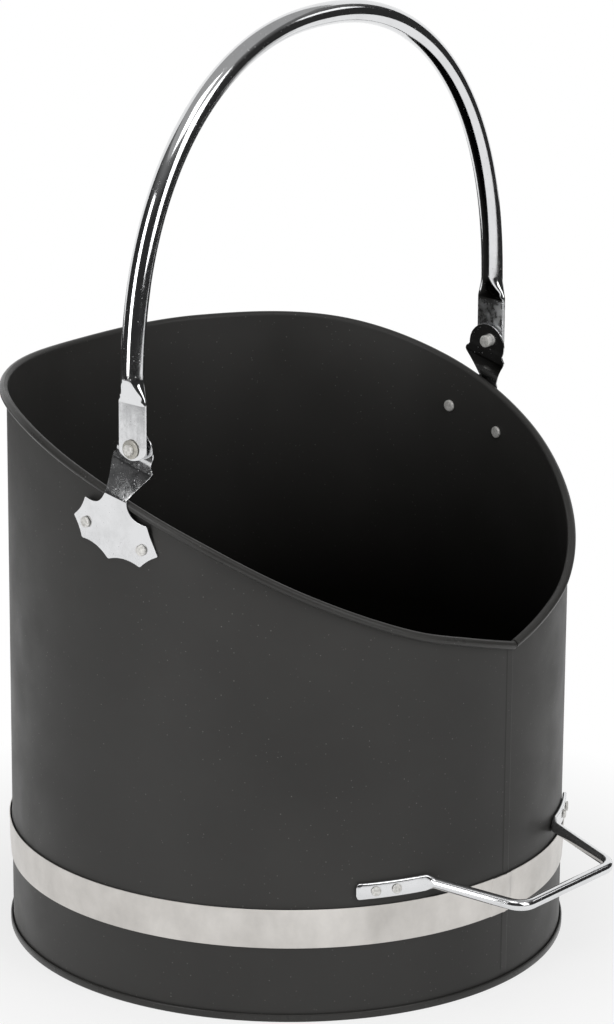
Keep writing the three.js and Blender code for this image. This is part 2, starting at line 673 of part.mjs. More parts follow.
const sideName = (side) => (side < 0 ? 'left' : 'right');

add('body_shell', bodyShell(), blackCoat);
add('base_pan', basePan(), blackCoat);
add('chrome_band', band(), satinSteel);
add('ear_right', ear(), chrome);
add('ear_left', reversed(ear().scale(-1, 1, 1)), chrome);
for (const spot of earRivetSpots()) {
  const where = spot.end > 0 ? 'front' : 'rear';
  add(`ear_rivet_${sideName(spot.side)}_${where}`, wallRivet(spot, EAR_SHEET + 2 * SEAT), rivetMetal);
}
add('bail_handle', bail(), chrome);
for (const side of [-1, 1]) {
  add(`bail_washer_${sideName(side)}`, washer(side), rivetMetal);
  add(`bail_pivot_rivet_${sideName(side)}`, pivotRivet(side), rivetMetal);
}
add('tip_handle', tipHandle(), chrome);
for (const spot of footRivetSpots()) {
  const where = spot.end > 0 ? 'inner' : 'outer';
  add(`tip_rivet_${sideName(spot.side)}_${where}`, wallRivet(spot, FOOT_THICKNESS + 2 * SEAT), rivetMetal);
}

export default scuttle;
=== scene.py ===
"""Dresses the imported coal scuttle: remodels its visible pieces finely and gives each its finish."""

import logging
import math
from dataclasses import dataclass, field
from enum import Enum
from typing import Callable, Optional, Sequence, Union

import bmesh
import bpy
from mathutils import Matrix, Vector


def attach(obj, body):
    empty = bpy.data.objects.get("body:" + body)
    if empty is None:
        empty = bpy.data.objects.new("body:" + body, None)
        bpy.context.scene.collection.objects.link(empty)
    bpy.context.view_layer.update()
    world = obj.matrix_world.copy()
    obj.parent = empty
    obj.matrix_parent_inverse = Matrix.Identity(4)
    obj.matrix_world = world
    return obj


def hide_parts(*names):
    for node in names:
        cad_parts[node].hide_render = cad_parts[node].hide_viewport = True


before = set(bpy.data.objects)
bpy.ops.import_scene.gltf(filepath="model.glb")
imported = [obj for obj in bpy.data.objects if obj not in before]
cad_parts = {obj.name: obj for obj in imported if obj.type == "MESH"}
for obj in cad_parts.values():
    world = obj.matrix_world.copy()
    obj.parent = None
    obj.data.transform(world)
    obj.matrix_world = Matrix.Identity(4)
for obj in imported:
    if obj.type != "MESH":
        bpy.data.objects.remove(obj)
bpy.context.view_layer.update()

LOG = logging.getLogger("coal_scuttle")
MM = 0.001
SMOOTH_ANGLE = 35.0
ORIGIN = Vector((0, 0, 0))
X_AXIS, Y_AXIS, Z_AXIS = Vector((1, 0, 0)), Vector((0, 1, 0)), Vector((0, 0, 1))

Pair = tuple[float, float]
Point = tuple[float, float, float]
Row = tuple[float, float, int]
Section = tuple[float, float, float, float, float]
Piece = bpy.types.Object
Socket = bpy.types.NodeSocket
Colour = Union[Point, Socket]
Place = Callable[[Vector], Vector]
Test = Callable[[Vector], bool]


class Body(Enum):
    """The moving bodies of the scuttle."""

    SCUTTLE = "scuttle"
    BAIL = "bail"


class Slot(Enum):
    """The material slots of the record."""

    COAT = "black_coat"
    BAND = "satin_band"
    EARS = "chrome_ears"
    ROD = "chrome_rod"
    RIVETS = "rivet_metal"


class Side(Enum):
    """The two sides of the drum, seen from the lip."""

    LEFT = -1
    RIGHT = 1

    @property
    def word(self) -> str:
        """The side's name in piece names."""
        return self.name.lower()


def smoothstep(value: float, low: float, high: float) -> float:
    """Eases a value from 0 at low to 1 at high.

    Args:
        value: The value to ease.
        low: Where the result leaves 0.
        high: Where the result reaches 1.

    Returns:
        The eased share between 0 and 1.
    """
    t = min(max((value - low) / (high - low), 0.0), 1.0)
    return t * t * (3.0 - 2.0 * t)


def mix(a: float, b: float, t: float) -> float:
    """Blends two numbers by the share t."""
    return a + (b - a) * t


def steps(start: float, end: float, count: int) -> list[float]:
    """The count + 1 evenly spaced values from start to end."""
    return [mix(start, end, i / count) for i in range(count + 1)]


def on_circle(radius: float, degrees: float) -> Pair:
    """The two coordinates of a point on a circle around zero."""
    turn = math.radians(degrees)
    return radius * math.cos(turn), radius * math.sin(turn)


def around(radius: float, angle: float, z: float) -> Vector:
    """A point around the drum, in millimetres.

    Args:
        radius: Distance from the drum's axis.
        angle: Degrees from the pouring lip, positive towards +X.
        z: Height.

    Returns:
        The point.
    """
    toward_lip, sideways = on_circle(radius, angle)
    return Vector((sideways, -toward_lip, z))


def bow(start: Sequence[float], middle: Sequence[float], end: Sequence[float], t: float) -> Pair:
    """A point on the curve between two points that is drawn towards a third.

    Args:
        start: Where the curve starts.
        middle: The point that draws it.
        end: Where it ends.
        t: Share of the way between 0 and 1.

    Returns:
        The point.
    """
    shares = ((1 - t) ** 2, 2 * t * (1 - t), t * t)
    u, v = (sum(share * value for share, value in zip(shares, values)) for values in zip(start, middle, end))
    return u, v


def deselect_all() -> None:
    """Leaves edit mode and clears the selection."""
    if bpy.context.object and bpy.context.object.mode != "OBJECT":
        bpy.ops.object.mode_set(mode="OBJECT")
    bpy.ops.object.select_all(action="DESELECT")


def make_active(piece: Piece) -> None:
    """Selects one object alone and makes it active.

    Args:
        piece: The object.
    """
    deselect_all()
    piece.select_set(True)
    bpy.context.view_layer.objects.active = piece


def settle(piece: Piece, smooth_angle: float = SMOOTH_ANGLE) -> Piece:
    """Puts the object at the origin, turns its faces outwards and smooths it.

    Args:
        piece: The mesh object.
        smooth_angle: Edges sharper than this many degrees stay crisp.

    Returns:
        The same object.
    """
    make_active(piece)
    bpy.ops.object.transform_apply(location=True, rotation=True, scale=True)
    bpy.ops.object.mode_set(mode="EDIT")
    bpy.ops.mesh.select_all(action="SELECT")
    bpy.ops.mesh.remove_doubles(threshold=1e-7)
    bpy.ops.mesh.normals_make_consistent(inside=False)
    bpy.ops.object.mode_set(mode="OBJECT")
    bpy.ops.object.shade_smooth_by_angle(angle=math.radians(smooth_angle))
    return piece


def apply_modifier(piece: Piece, kind: str, **values: object) -> None:
    """Adds a modifier with the given values and applies it.

    Args:
        piece: The mesh object.
        kind: Type of the modifier.
        **values: Its settings.
    """
    make_active(piece)
    modifier = piece.modifiers.new(kind.title(), kind)
    for key, value in values.items():
        setattr(modifier, key, value)
    bpy.ops.object.modifier_apply(modifier=modifier.name)


class Bench:
    """One mesh under work in edit mode. Its points are in metres."""

    def __init__(self, name: str, start: Vector) -> None:
        """Starts a mesh from a plane merged to one point.

        Args:
            name: Name of the new object.
            start: The point.
        """
        deselect_all()
        bpy.ops.mesh.primitive_plane_add(size=MM)
        self.piece = bpy.context.object
        self.piece.name = name
        bpy.ops.object.mode_set(mode="EDIT")
        bpy.ops.mesh.merge(type="CENTER")
        bpy.ops.transform.translate(value=start)
        self.at = start.copy()

    def draw(self, points: Sequence[Vector]) -> None:
        """Extrudes the selected point along a row of points.

        Args:
            points: The places it passes.
        """
        for spot in points:
            bpy.ops.mesh.extrude_region_move(TRANSFORM_OT_translate={"value": spot - self.at})
            self.at = spot.copy()

    def weld(self, distance: float = 1e-7) -> None:
        """Merges points that lie on each other."""
        bpy.ops.mesh.select_all(action="SELECT")
        bpy.ops.mesh.remove_doubles(threshold=distance)

    def close(self) -> None:
        """Fills the drawn outline with one face."""
        self.weld()
        bpy.ops.mesh.edge_face_add()

    def spin(self, centre: Vector, axis: Vector, sides: int) -> None:
        """Turns the whole profile once around an axis.

        Args:
            centre: A point on the axis.
            axis: Its direction.
            sides: Number of facets.
        """
        self.weld()
        bpy.ops.mesh.spin(steps=sides, angle=2 * math.pi, center=centre, axis=axis)
        self.weld(2e-6)

    def mesh(self) -> bmesh.types.BMesh:
        """The mesh with its points numbered.

        Returns:
            The mesh.
        """
        mesh = bmesh.from_edit_mesh(self.piece.data)
        mesh.verts.ensure_lookup_table()
        return mesh

    def update(self) -> None:
        """Shows what was changed in the mesh."""
        bmesh.update_edit_mesh(self.piece.data)

    def slice(self, spot: Vector, normal: Vector, keep: Optional[Test] = None) -> None:
        """Cuts the faces along a plane.

        Args:
            spot: A point of the plane.
            normal: Its normal.
            keep: Which faces are cut, by their centre; all where it is left out.
        """
        bpy.ops.mesh.select_all(action="SELECT" if keep is None else "DESELECT")
        if keep is not None:
            bpy.ops.mesh.select_mode(type="FACE")
            mesh = self.mesh()
            for face in mesh.faces:
                face.select_set(keep(face.calc_center_median()))
            self.update()
        bpy.ops.mesh.bisect(plane_co=spot, plane_no=normal)
        bpy.ops.mesh.select_mode(type="VERT")

    def shape(self, move: Place) -> None:
        """Moves every point.

        Args:
            move: Gives the new place of a point.
        """
        mesh = self.mesh()
        for vert in mesh.verts:
            vert.co = move(vert.co.copy())
        self.update()

    def select_newest(self, count: int, where: Optional[Test] = None) -> None:
        """Selects the points added last, or those of them that pass a test.

        Args:
            count: How many points were added.
            where: Test of a point's place; all pass where it is left out.
        """
        bpy.ops.mesh.select_all(action="DESELECT")
        mesh = self.mesh()
        for vert in mesh.verts[len(mesh.verts) - count:]:
            vert.select_set(where is None or where(vert.co))
        mesh.select_flush(True)
        self.update()

    def stretch_newest(self, count: int, centre: Vector, along: Vector, factor: float) -> None:
        """Stretches the points added last along one direction.

        Args:
            count: How many points were added.
            centre: The point that stays.
            along: Direction of the stretch.
            factor: How many times wider the points lie.
        """
        mesh = self.mesh()
        for vert in mesh.verts[len(mesh.verts) - count:]:
            vert.co += along * ((vert.co - centre).dot(along) * (factor - 1.0))
        self.update()

    def bridge_newest(self, sides: int) -> None:
        """Joins the last two rings of points by faces.

        Args:
            sides: Points of each ring.
        """
        self.select_newest(2 * sides)
        bpy.ops.mesh.select_mode(type="EDGE")
        mesh = self.mesh()
        start = len(mesh.verts) - 2 * sides
        for face in mesh.faces:
            face.select = False
        for edge in mesh.edges:
            rows = {(vert.index - start) // sides for vert in edge.verts}
            edge.select = rows in ({0}, {1})
        self.update()
        bpy.ops.mesh.bridge_edge_loops()
        bpy.ops.mesh.select_mode(type="VERT")

    def done(self, smooth_angle: float = SMOOTH_ANGLE) -> Piece:
        """Leaves edit mode with merged points and outward faces."""
        bpy.ops.object.mode_set(mode="OBJECT")
        return settle(self.piece, smooth_angle)


def turned(name: str, profile: Sequence[Pair], foot: Vector, axis: Vector, sides: int) -> Piece:
    """Spins a profile of radius and height about an axis.

    Args:
        name: Name of the new object.
        profile: Pairs of radius and height along the axis, in millimetres.
        foot: Where the profile's height is zero, in metres.
        axis: Direction of the profile's height.
        sides: Number of facets around.

    Returns:
        The finished object.
    """
    up = axis.normalized()
    out = up.orthogonal().normalized()
    points = [foot + (out * radius + up * height) * MM for radius, height in profile]
    bench = Bench(name, points[0])
    bench.draw(points[1:])
    bench.spin(foot, up, sides)
    return bench.done()


@dataclass(frozen=True)
class Shading:
    """Node tree of one material or surround, with shorthands for the nodes it uses."""

    host: Union[bpy.types.Material, bpy.types.World]

    @classmethod
    def start(cls, name: str) -> "Shading":
        """Makes a material whose tree holds only a shader and an output.

        Args:
            name: Name of the material.

        Returns:
            The tree's shorthands.
        """
        material = bpy.data.materials.new(name)
        material.use_nodes = True
        return cls(material)

    @property
    def shader(self) -> bpy.types.Node:
        """The principled shader."""
        return self.host.node_tree.nodes["Principled BSDF"]

    @property
    def surface(self) -> Socket:
        """The output's surface."""
        return self.host.node_tree.nodes["Material Output"].inputs["Surface"]

    def node(self, kind: str, **inputs: object) -> bpy.types.Node:
        """Adds a node and sets its inputs by name.

        Args:
            kind: Type of the node.
            **inputs: Values by socket name, spaces written as underscores.

        Returns:
            The new node.
        """
        made = self.host.node_tree.nodes.new(kind)
        for key, value in inputs.items():
            made.inputs[key.replace("_", " ")].default_value = value
        return made

    def link(self, source: Socket, target: Socket) -> None:
        """Joins an output to an input."""
        self.host.node_tree.links.new(source, target)

    def drive(self, **sockets: Socket) -> None:
        """Joins outputs to the shader's inputs, spaces written as underscores."""
        for key, source in sockets.items():
            self.link(source, self.shader.inputs[key.replace("_", " ")])

    def place(self, scale: Point = (1.0, 1.0, 1.0)) -> Socket:
        """Object coordinates stretched by a scale.

        Args:
            scale: Stretch along each axis.

        Returns:
            The vector socket.
        """
        coords = self.node("ShaderNodeTexCoord")
        mapping = self.node("ShaderNodeMapping", Scale=scale)
        self.link(coords.outputs["Object"], mapping.inputs["Vector"])
        return mapping.outputs["Vector"]

    def noise(
        self, scale: float, detail: float = 3.0, roughness: float = 0.5, stretch: Point = (1.0, 1.0, 1.0)
    ) -> Socket:
        """A noise pattern in object space.

        Args:
            scale: Cells per metre.
            detail: Octaves.
            roughness: Weight of the finer octaves.
            stretch: Scale along each axis.

        Returns:
            The grey value socket.
        """
        made = self.node("ShaderNodeTexNoise", Scale=scale, Detail=detail, Roughness=roughness)
        self.link(self.place(stretch), made.inputs["Vector"])
        return made.outputs["Fac"]

    def span(self, value: Socket, low: float, high: float, start: float, end: float) -> Socket:
        """Maps a range of a value to another range, clamped.

        Args:
            value: The incoming value.
            low: Incoming value that gives start.
            high: Incoming value that gives end.
            start: Result at low.
            end: Result at high.

        Returns:
            The mapped value.
        """
        made = self.node("ShaderNodeMapRange", From_Min=low, From_Max=high, To_Min=start, To_Max=end)
        self.link(value, made.inputs["Value"])
        return made.outputs["Result"]

    def blend(self, share: Socket, first: Colour, second: Colour) -> Socket:
        """Blends two colours by a share.

        Args:
            share: Share of the second colour.
            first: Colour at 0, linear values or a socket.
            second: Colour at 1, linear values or a socket.

        Returns:
            The colour socket.
        """
        made = self.node("ShaderNodeMix")
        made.data_type = "RGBA"
        colours = [socket for socket in made.inputs if socket.type == "RGBA"]
        for colour, socket in zip((first, second), colours):
            if isinstance(colour, tuple):
                socket.default_value = (*colour, 1.0)
            else:
                self.link(colour, socket)
        self.link(share, made.inputs["Factor"])
        return [socket for socket in made.outputs if socket.type == "RGBA"][0]

    def join(self, kind: str, first: Socket, second: Union[Socket, float]) -> Socket:
        """Combines two values by a math operation.

        Args:
            kind: Name of the operation.
            first: First value.
            second: Second value, a socket or a number.

        Returns:
            The result.
        """
        made = self.node("ShaderNodeMath")
        made.operation = kind
        self.link(first, made.inputs[0])
        if isinstance(second, float):
            made.inputs[1].default_value = second
        else:
            self.link(second, made.inputs[1])
        return made.outputs[0]

    def part(self, axis: str) -> Socket:
        """One of the object coordinates.

        Args:
            axis: X, Y or Z.

        Returns:
            The coordinate in metres.
        """
        parts = self.node("ShaderNodeSeparateXYZ")
        self.link(self.place(), parts.inputs["Vector"])
        return parts.outputs[axis]

    def reach(self) -> Socket:
        """Distance from the drum's axis.

        Returns:
            The distance in metres.
        """
        made = self.node("ShaderNodeVectorMath")
        made.operation = "LENGTH"
        self.link(self.place((1.0, 1.0, 0.0)), made.inputs[0])
        return made.outputs["Value"]

    def specks(self, scale: float, size: float) -> Socket:
        """Scattered round specks of uneven strength.

        Args:
            scale: Specks per metre along a line.
            size: Radius of a speck as a share of their spacing.

        Returns:
            Strength of the specks between 0 and 1.
        """
        cells = self.node("ShaderNodeTexVoronoi", Scale=scale)
        self.link(self.place(), cells.inputs["Vector"])
        dot = self.span(cells.outputs["Distance"], 0.5 * size, size, 1.0, 0.0)
        parts = self.node("ShaderNodeSeparateXYZ")
        self.link(cells.outputs["Color"], parts.inputs["Vector"])
        return self.join("MULTIPLY", dot, parts.outputs["X"])

    def bump(self, height: Socket, distance: float, strength: float) -> None:
        """Raises the surface by a pattern.

        Args:
            height: The pattern.
            distance: Height of the relief in metres.
            strength: Share of the relief that shows.
        """
        made = self.node("ShaderNodeBump", Strength=strength, Distance=distance)
        self.link(height, made.inputs["Height"])
        self.drive(Normal=made.outputs["Normal"])

    def seen_white(self) -> Socket:
        """Tells the rays that show the white background from those that light the object.

        Returns:
            A share that is 1 for the first and 0 for the others.
        """
        path = self.node("ShaderNodeLightPath")
        first = self.join("MAXIMUM", path.outputs["Is Camera Ray"], path.outputs["Is Glossy Ray"])
        return self.join("MAXIMUM", first, path.outputs["Is Transmission Ray"])


@dataclass(frozen=True)
class PowderCoat:
    """Black powder coat with a fine grain, faint clouding, dust specks and painted shade on the inside."""

    colour: Point = (0.0330, 0.0322, 0.0307)
    worn: Point = (0.0450, 0.0440, 0.0419)
    cloud_scale: float = 9.0
    speck: Point = (0.15, 0.146, 0.14)
    speck_scale: float = 300.0
    speck_size: float = 0.12
    # Painted shade: a near-black colour and a weaker reflection on the inner faces, deeper below the mouth,
    # stand in for the shade inside the drum.
    painted_shade: Point = (0.0021, 0.0018, 0.0014)
    painted_shade_full: float = 0.94
    inside_reach: float = 0.1496
    painted_shade_heights: Pair = (0.138, 0.290)
    specular: float = 0.25
    painted_shade_specular: float = 0.02
    roughness: float = 0.45
    wear_scale: float = 35.0
    rolled_reach: float = 0.1509
    rolled_gloss: float = 0.15
    dent_scale: float = 13.0
    dent_weight: float = 6.0
    grain_scale: float = 1500.0
    grain_height: float = 0.00006

    def painted_shade_share(self, tree: Shading) -> Socket:
        """Share of painted shade on the inner faces, growing with depth below the mouth.

        Args:
            tree: The coat's shading.

        Returns:
            The share between 0 and 1.
        """
        height = tree.part("Z")
        deep = tree.span(height, *self.painted_shade_heights, self.painted_shade_full, 0.0)
        above = tree.span(height, 0.0002, 0.0005, 0.0, 1.0)
        inner = tree.span(tree.reach(), self.inside_reach, self.inside_reach + 0.0002, 1.0, 0.0)
        return tree.join("MULTIPLY", tree.join("MULTIPLY", deep, above), inner)

    def make(self) -> bpy.types.Material:
        """Builds the material.

        Returns:
            The material.
        """
        tree = Shading.start("black_powder_coat")
        cloud = tree.span(tree.noise(self.cloud_scale, 4.0, 0.55), 0.3, 0.7, 0.0, 1.0)
        base = tree.blend(cloud, self.colour, self.worn)
        dust = tree.join("MULTIPLY", tree.specks(self.speck_scale, self.speck_size), 0.9)
        # Painted shade inside the drum: darkens the colour and dims the reflections of the inner faces
        # towards the bottom.
        painted_shade = self.painted_shade_share(tree)
        wear = tree.noise(self.wear_scale, 5.0, 0.6)
        gloss = tree.span(wear, 0.3, 0.7, self.roughness - 0.05, self.roughness + 0.06)
        edge = self.rolled_reach
        rolled = tree.span(tree.reach(), edge, edge + 0.0006, 0.0, -self.rolled_gloss)
        tree.drive(
            Base_Color=tree.blend(painted_shade, tree.blend(dust, base, self.speck), self.painted_shade),
            Specular_IOR_Level=tree.span(painted_shade, 0.0, 1.0, self.specular, self.painted_shade_specular),
            Roughness=tree.join("ADD", gloss, rolled),
        )
        dents = tree.join("MULTIPLY", tree.noise(self.dent_scale, 1.0), self.dent_weight)
        grain = tree.noise(self.grain_scale, 3.0, 0.6)
        tree.bump(tree.join("ADD", grain, dents), self.grain_height, 0.5)
        return tree.host


@dataclass(frozen=True)
class SatinSteel:
    """Bright steel strip with soft blotches and a fine roll grain."""

    light: Point = (0.73, 0.705, 0.675)
    dark: Point = (0.52, 0.50, 0.475)
    blotch_scale: float = 30.0
    roughness: float = 0.34
    grain_scale: float = 400.0
    roll_scale: float = 900.0
    roll_height: float = 0.00003

    def make(self) -> bpy.types.Material:
        """Builds the material.

        Returns:
            The material.
        """
        tree = Shading.start("satin_steel")
        tree.shader.inputs["Metallic"].default_value = 1.0
        blotches = tree.noise(self.blotch_scale, 5.0, 0.6, (1.0, 1.0, 0.8))
        grain = tree.noise(self.grain_scale, 4.0, 0.7, (1.0, 1.0, 6.0))
        tree.drive(
            Base_Color=tree.blend(tree.span(blotches, 0.3, 0.7, 0.0, 1.0), self.dark, self.light),
            Roughness=tree.span(grain, 0.3, 0.7, self.roughness - 0.06, self.roughness + 0.08),
        )
        tree.bump(tree.noise(self.roll_scale, 3.0, 0.6, (1.0, 1.0, 3.0)), self.roll_height, 0.4)
        return tree.host


@dataclass(frozen=True)
class Chrome:
    """Bright plating with fine rub marks, specks and slight waviness."""

    name: str = "chrome_plating"
    colour: Point = (0.74, 0.745, 0.755)
    dull: Point = (0.58, 0.585, 0.59)
    cloud_scale: float = 70.0
    cloud_share: float = 0.35
    roughness: float = 0.06
    rub_scale: float = 240.0
    rub_depth: float = 0.09
    pits: float = 0.0
    speck_scale: float = 420.0
    speck_size: float = 0.16
    speck_depth: float = 0.45
    wave_scale: float = 120.0
    wave_height: float = 0.0001
    scuffed_below: float = 0.0
    scuffed_fade: float = 0.002
    inner_face: float = 0.1475
    mottle_scale: float = 200.0
    mottle_depth: float = 0.34
    streak_scale: float = 420.0
    streak_depth: float = 0.05

    def scuffs(self, tree: Shading) -> Socket:
        """Extra roughness of the pressed ends: fine streaks outside, dull mottling inside.

        Args:
            tree: The plating's shading.

        Returns:
            The roughness to add.
        """
        edge, face = self.scuffed_below, self.inner_face
        sideways = tree.join("ABSOLUTE", tree.part("X"), 0.0)
        inner = tree.span(sideways, face - 0.0003, face + 0.0003, 1.0, 0.0)
        mottled = tree.span(tree.noise(self.mottle_scale, 5.0, 0.7), 0.35, 0.65, 0.0, self.mottle_depth)
        lines = tree.noise(self.streak_scale, 3.0, 0.6, (1.0, 1.0, 0.08))
        streaks = tree.span(lines, 0.35, 0.65, 0.0, self.streak_depth)
        dull = tree.join("ADD", tree.join("MULTIPLY", inner, mottled), streaks)
        pressed = tree.span(tree.part("Z"), edge - self.scuffed_fade, edge, 1.0, 0.0)
        return tree.join("MULTIPLY", pressed, dull)

    def make(self) -> bpy.types.Material:
        """Builds the material.

        Returns:
            The material.
        """
        tree = Shading.start(self.name)
        tree.shader.inputs["Metallic"].default_value = 1.0
        clouds = tree.noise(self.cloud_scale, 4.0, 0.6)
        cloud = tree.span(clouds, 0.45, 0.75, 0.0, self.cloud_share + self.pits)
        rubs = tree.noise(self.rub_scale, 6.0, 0.7)
        rubbed = self.roughness + self.rub_depth + 0.2 * self.pits
        gloss = tree.span(rubs, 0.35, 0.75, self.roughness, rubbed)
        specks = tree.join("MULTIPLY", tree.specks(self.speck_scale, self.speck_size), self.speck_depth)
        tree.drive(
            Base_Color=tree.blend(cloud, self.colour, self.dull),
            Roughness=tree.join("ADD", tree.join("ADD", gloss, specks), self.scuffs(tree)),
        )
        tree.bump(tree.noise(self.wave_scale, 3.0, 0.5), self.wave_height, 0.12 + self.pits)
        return tree.host


@dataclass(frozen=True)
class RivetMetal:
    """Pale soft metal of rivets and washers, peened and dull."""

    name: str = "rivet_metal"
    colour: Point = (0.82, 0.81, 0.78)
    dull: Point = (0.50, 0.49, 0.465)
    roughness: float = 0.42
    metallic: float = 0.45
    mark_scale: float = 700.0
    peen_scale: float = 900.0
    peen_height: float = 0.00015

    def make(self) -> bpy.types.Material:
        """Builds the material.

        Returns:
            The material.
        """
        tree = Shading.start(self.name)
        tree.shader.inputs["Metallic"].default_value = self.metallic
        marks = tree.noise(self.mark_scale, 4.0, 0.6)
        tree.drive(
            Base_Color=tree.blend(tree.span(marks, 0.4, 0.7, 0.0, 1.0), self.colour, self.dull),
            Roughness=tree.span(marks, 0.3, 0.7, self.roughness, self.roughness + 0.15),
        )
        tree.bump(tree.noise(self.peen_scale, 3.0, 0.6), self.peen_height, 0.6)
        return tree.host


@dataclass(frozen=True)
class Finish:
    """A material and the record's slot it fills."""

    material: bpy.types.Material
    slot: Slot

    def dress(self, piece: Piece, node: str, body: Body = Body.SCUTTLE) -> None:
        """Gives a piece this finish and its body, and hides the solid's node that it replaces.

        Args:
            piece: The finished mesh.
            node: The solid's node that it replaces.
            body: The body it moves with.
        """
        piece.data.materials.clear()
        piece.data.materials.append(self.material)
        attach(piece, body.value)
        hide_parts(node)
        LOG.info("%s: %d faces", piece.name, len(piece.data.polygons))


@dataclass(frozen=True)
class Finishes:
    """The finishes of the scuttle, made once."""

    coat: Finish
    band: Finish
    plate: Finish
    rod: Finish
    bail: Finish
    rivet: Finish
    washer: Finish

    @classmethod
    def make(cls) -> "Finishes":
        """Builds all materials.

        Returns:
            The finishes.
        """
        washer = RivetMetal("washer_metal", (0.50, 0.485, 0.44), (0.36, 0.35, 0.32))
        return cls(
            Finish(PowderCoat().make(), Slot.COAT),
            Finish(SatinSteel().make(), Slot.BAND),
            Finish(Chrome("stamped_chrome", roughness=0.1, pits=0.15).make(), Slot.EARS),
            Finish(Chrome(roughness=0.1).make(), Slot.ROD),
            Finish(Chrome("bail_chrome", scuffed_below=0.325).make(), Slot.ROD),
            Finish(RivetMetal().make(), Slot.RIVETS),
            Finish(washer.make(), Slot.RIVETS),
        )


@dataclass(frozen=True)
class RivetSize:
    """Sizes of one kind of rivet, in millimetres."""

    shaft: float
    head: float
    head_height: float
    end: float
    end_height: float
    flat: float = 0.72
    wall: float = 0.45

    def button(self, radius: float, height: float) -> list[Pair]:
        """Profile of a low flat button, from the middle of its face to the foot of its wall.

        Args:
            radius: Radius of the button.
            height: Its height; negative for a button that looks down.

        Returns:
            Pairs of radius and height.
        """
        points = [(0.0, height)]
        for turn in steps(90.0, 0.0, 6):
            out, up = on_circle(1.0, turn)
            points.append((radius * mix(self.flat, 1.0, out), height * mix(self.wall, 1.0, up)))
        return [*points, (radius, 0.0)]

    def profile(self, grip: float) -> list[Pair]:
        """Profile from the head's crown to the formed end.

        Args:
            grip: Distance from under the head to the formed end.

        Returns:
            Pairs of radius and height.
        """
        foot = [(radius, z - grip) for radius, z in reversed(self.button(self.end, -self.end_height))]
        return [*self.button(self.head, self.head_height), (self.shaft, 0.0), (self.shaft, -grip), *foot]

    def build(self, name: str, foot: Vector, axis: Vector, grip: float) -> Piece:
        """Models the rivet.

        Args:
            name: Name of the piece.
            foot: Middle of the head's underside, in metres.
            axis: Direction from the grip to the head.
            grip: Clamped length in millimetres.

        Returns:
            The piece.
        """
        return turned(name, self.profile(grip), foot, axis, 32)


@dataclass
class RimCurve:
    """Height of the rolled rim's centre around the drum, alike on both sides."""

    knots: tuple[Pair, ...] = (
        (0, 188.4), (12, 197.2), (25, 206.8), (45, 228.3), (70, 258.7),
        (95, 283.9), (120, 299.2), (150, 301.0), (180, 298.6),
    )

    def slope(self, i: int) -> float:
        """Slope of the curve at a knot.

        Args:
            i: Number of the knot.

        Returns:
            Rise in millimetres per degree; the curve ends level at the back.
        """
        if i == len(self.knots) - 1:
            return 0.0
        low = self.knots[max(i - 1, 0)]
        high = self.knots[i + 1]
        return (high[1] - low[1]) / (high[0] - low[0])

    def height(self, angle: float) -> float:
        """Height at an angle from the lip.

        Args:
            angle: Degrees from the lip.

        Returns:
            Height in millimetres.
        """
        a = abs(angle)
        i = max(k for k in range(len(self.knots) - 1) if self.knots[k][0] <= a)
        (a0, z0), (a1, z1) = self.knots[i], self.knots[i + 1]
        span = a1 - a0
        t = (a - a0) / span
        return (
            z0 * (1 + 2 * t) * (1 - t) ** 2
            + self.slope(i) * span * t * (1 - t) ** 2
            + z1 * t * t * (3 - 2 * t)
            + self.slope(i + 1) * span * t * t * (t - 1)
        )


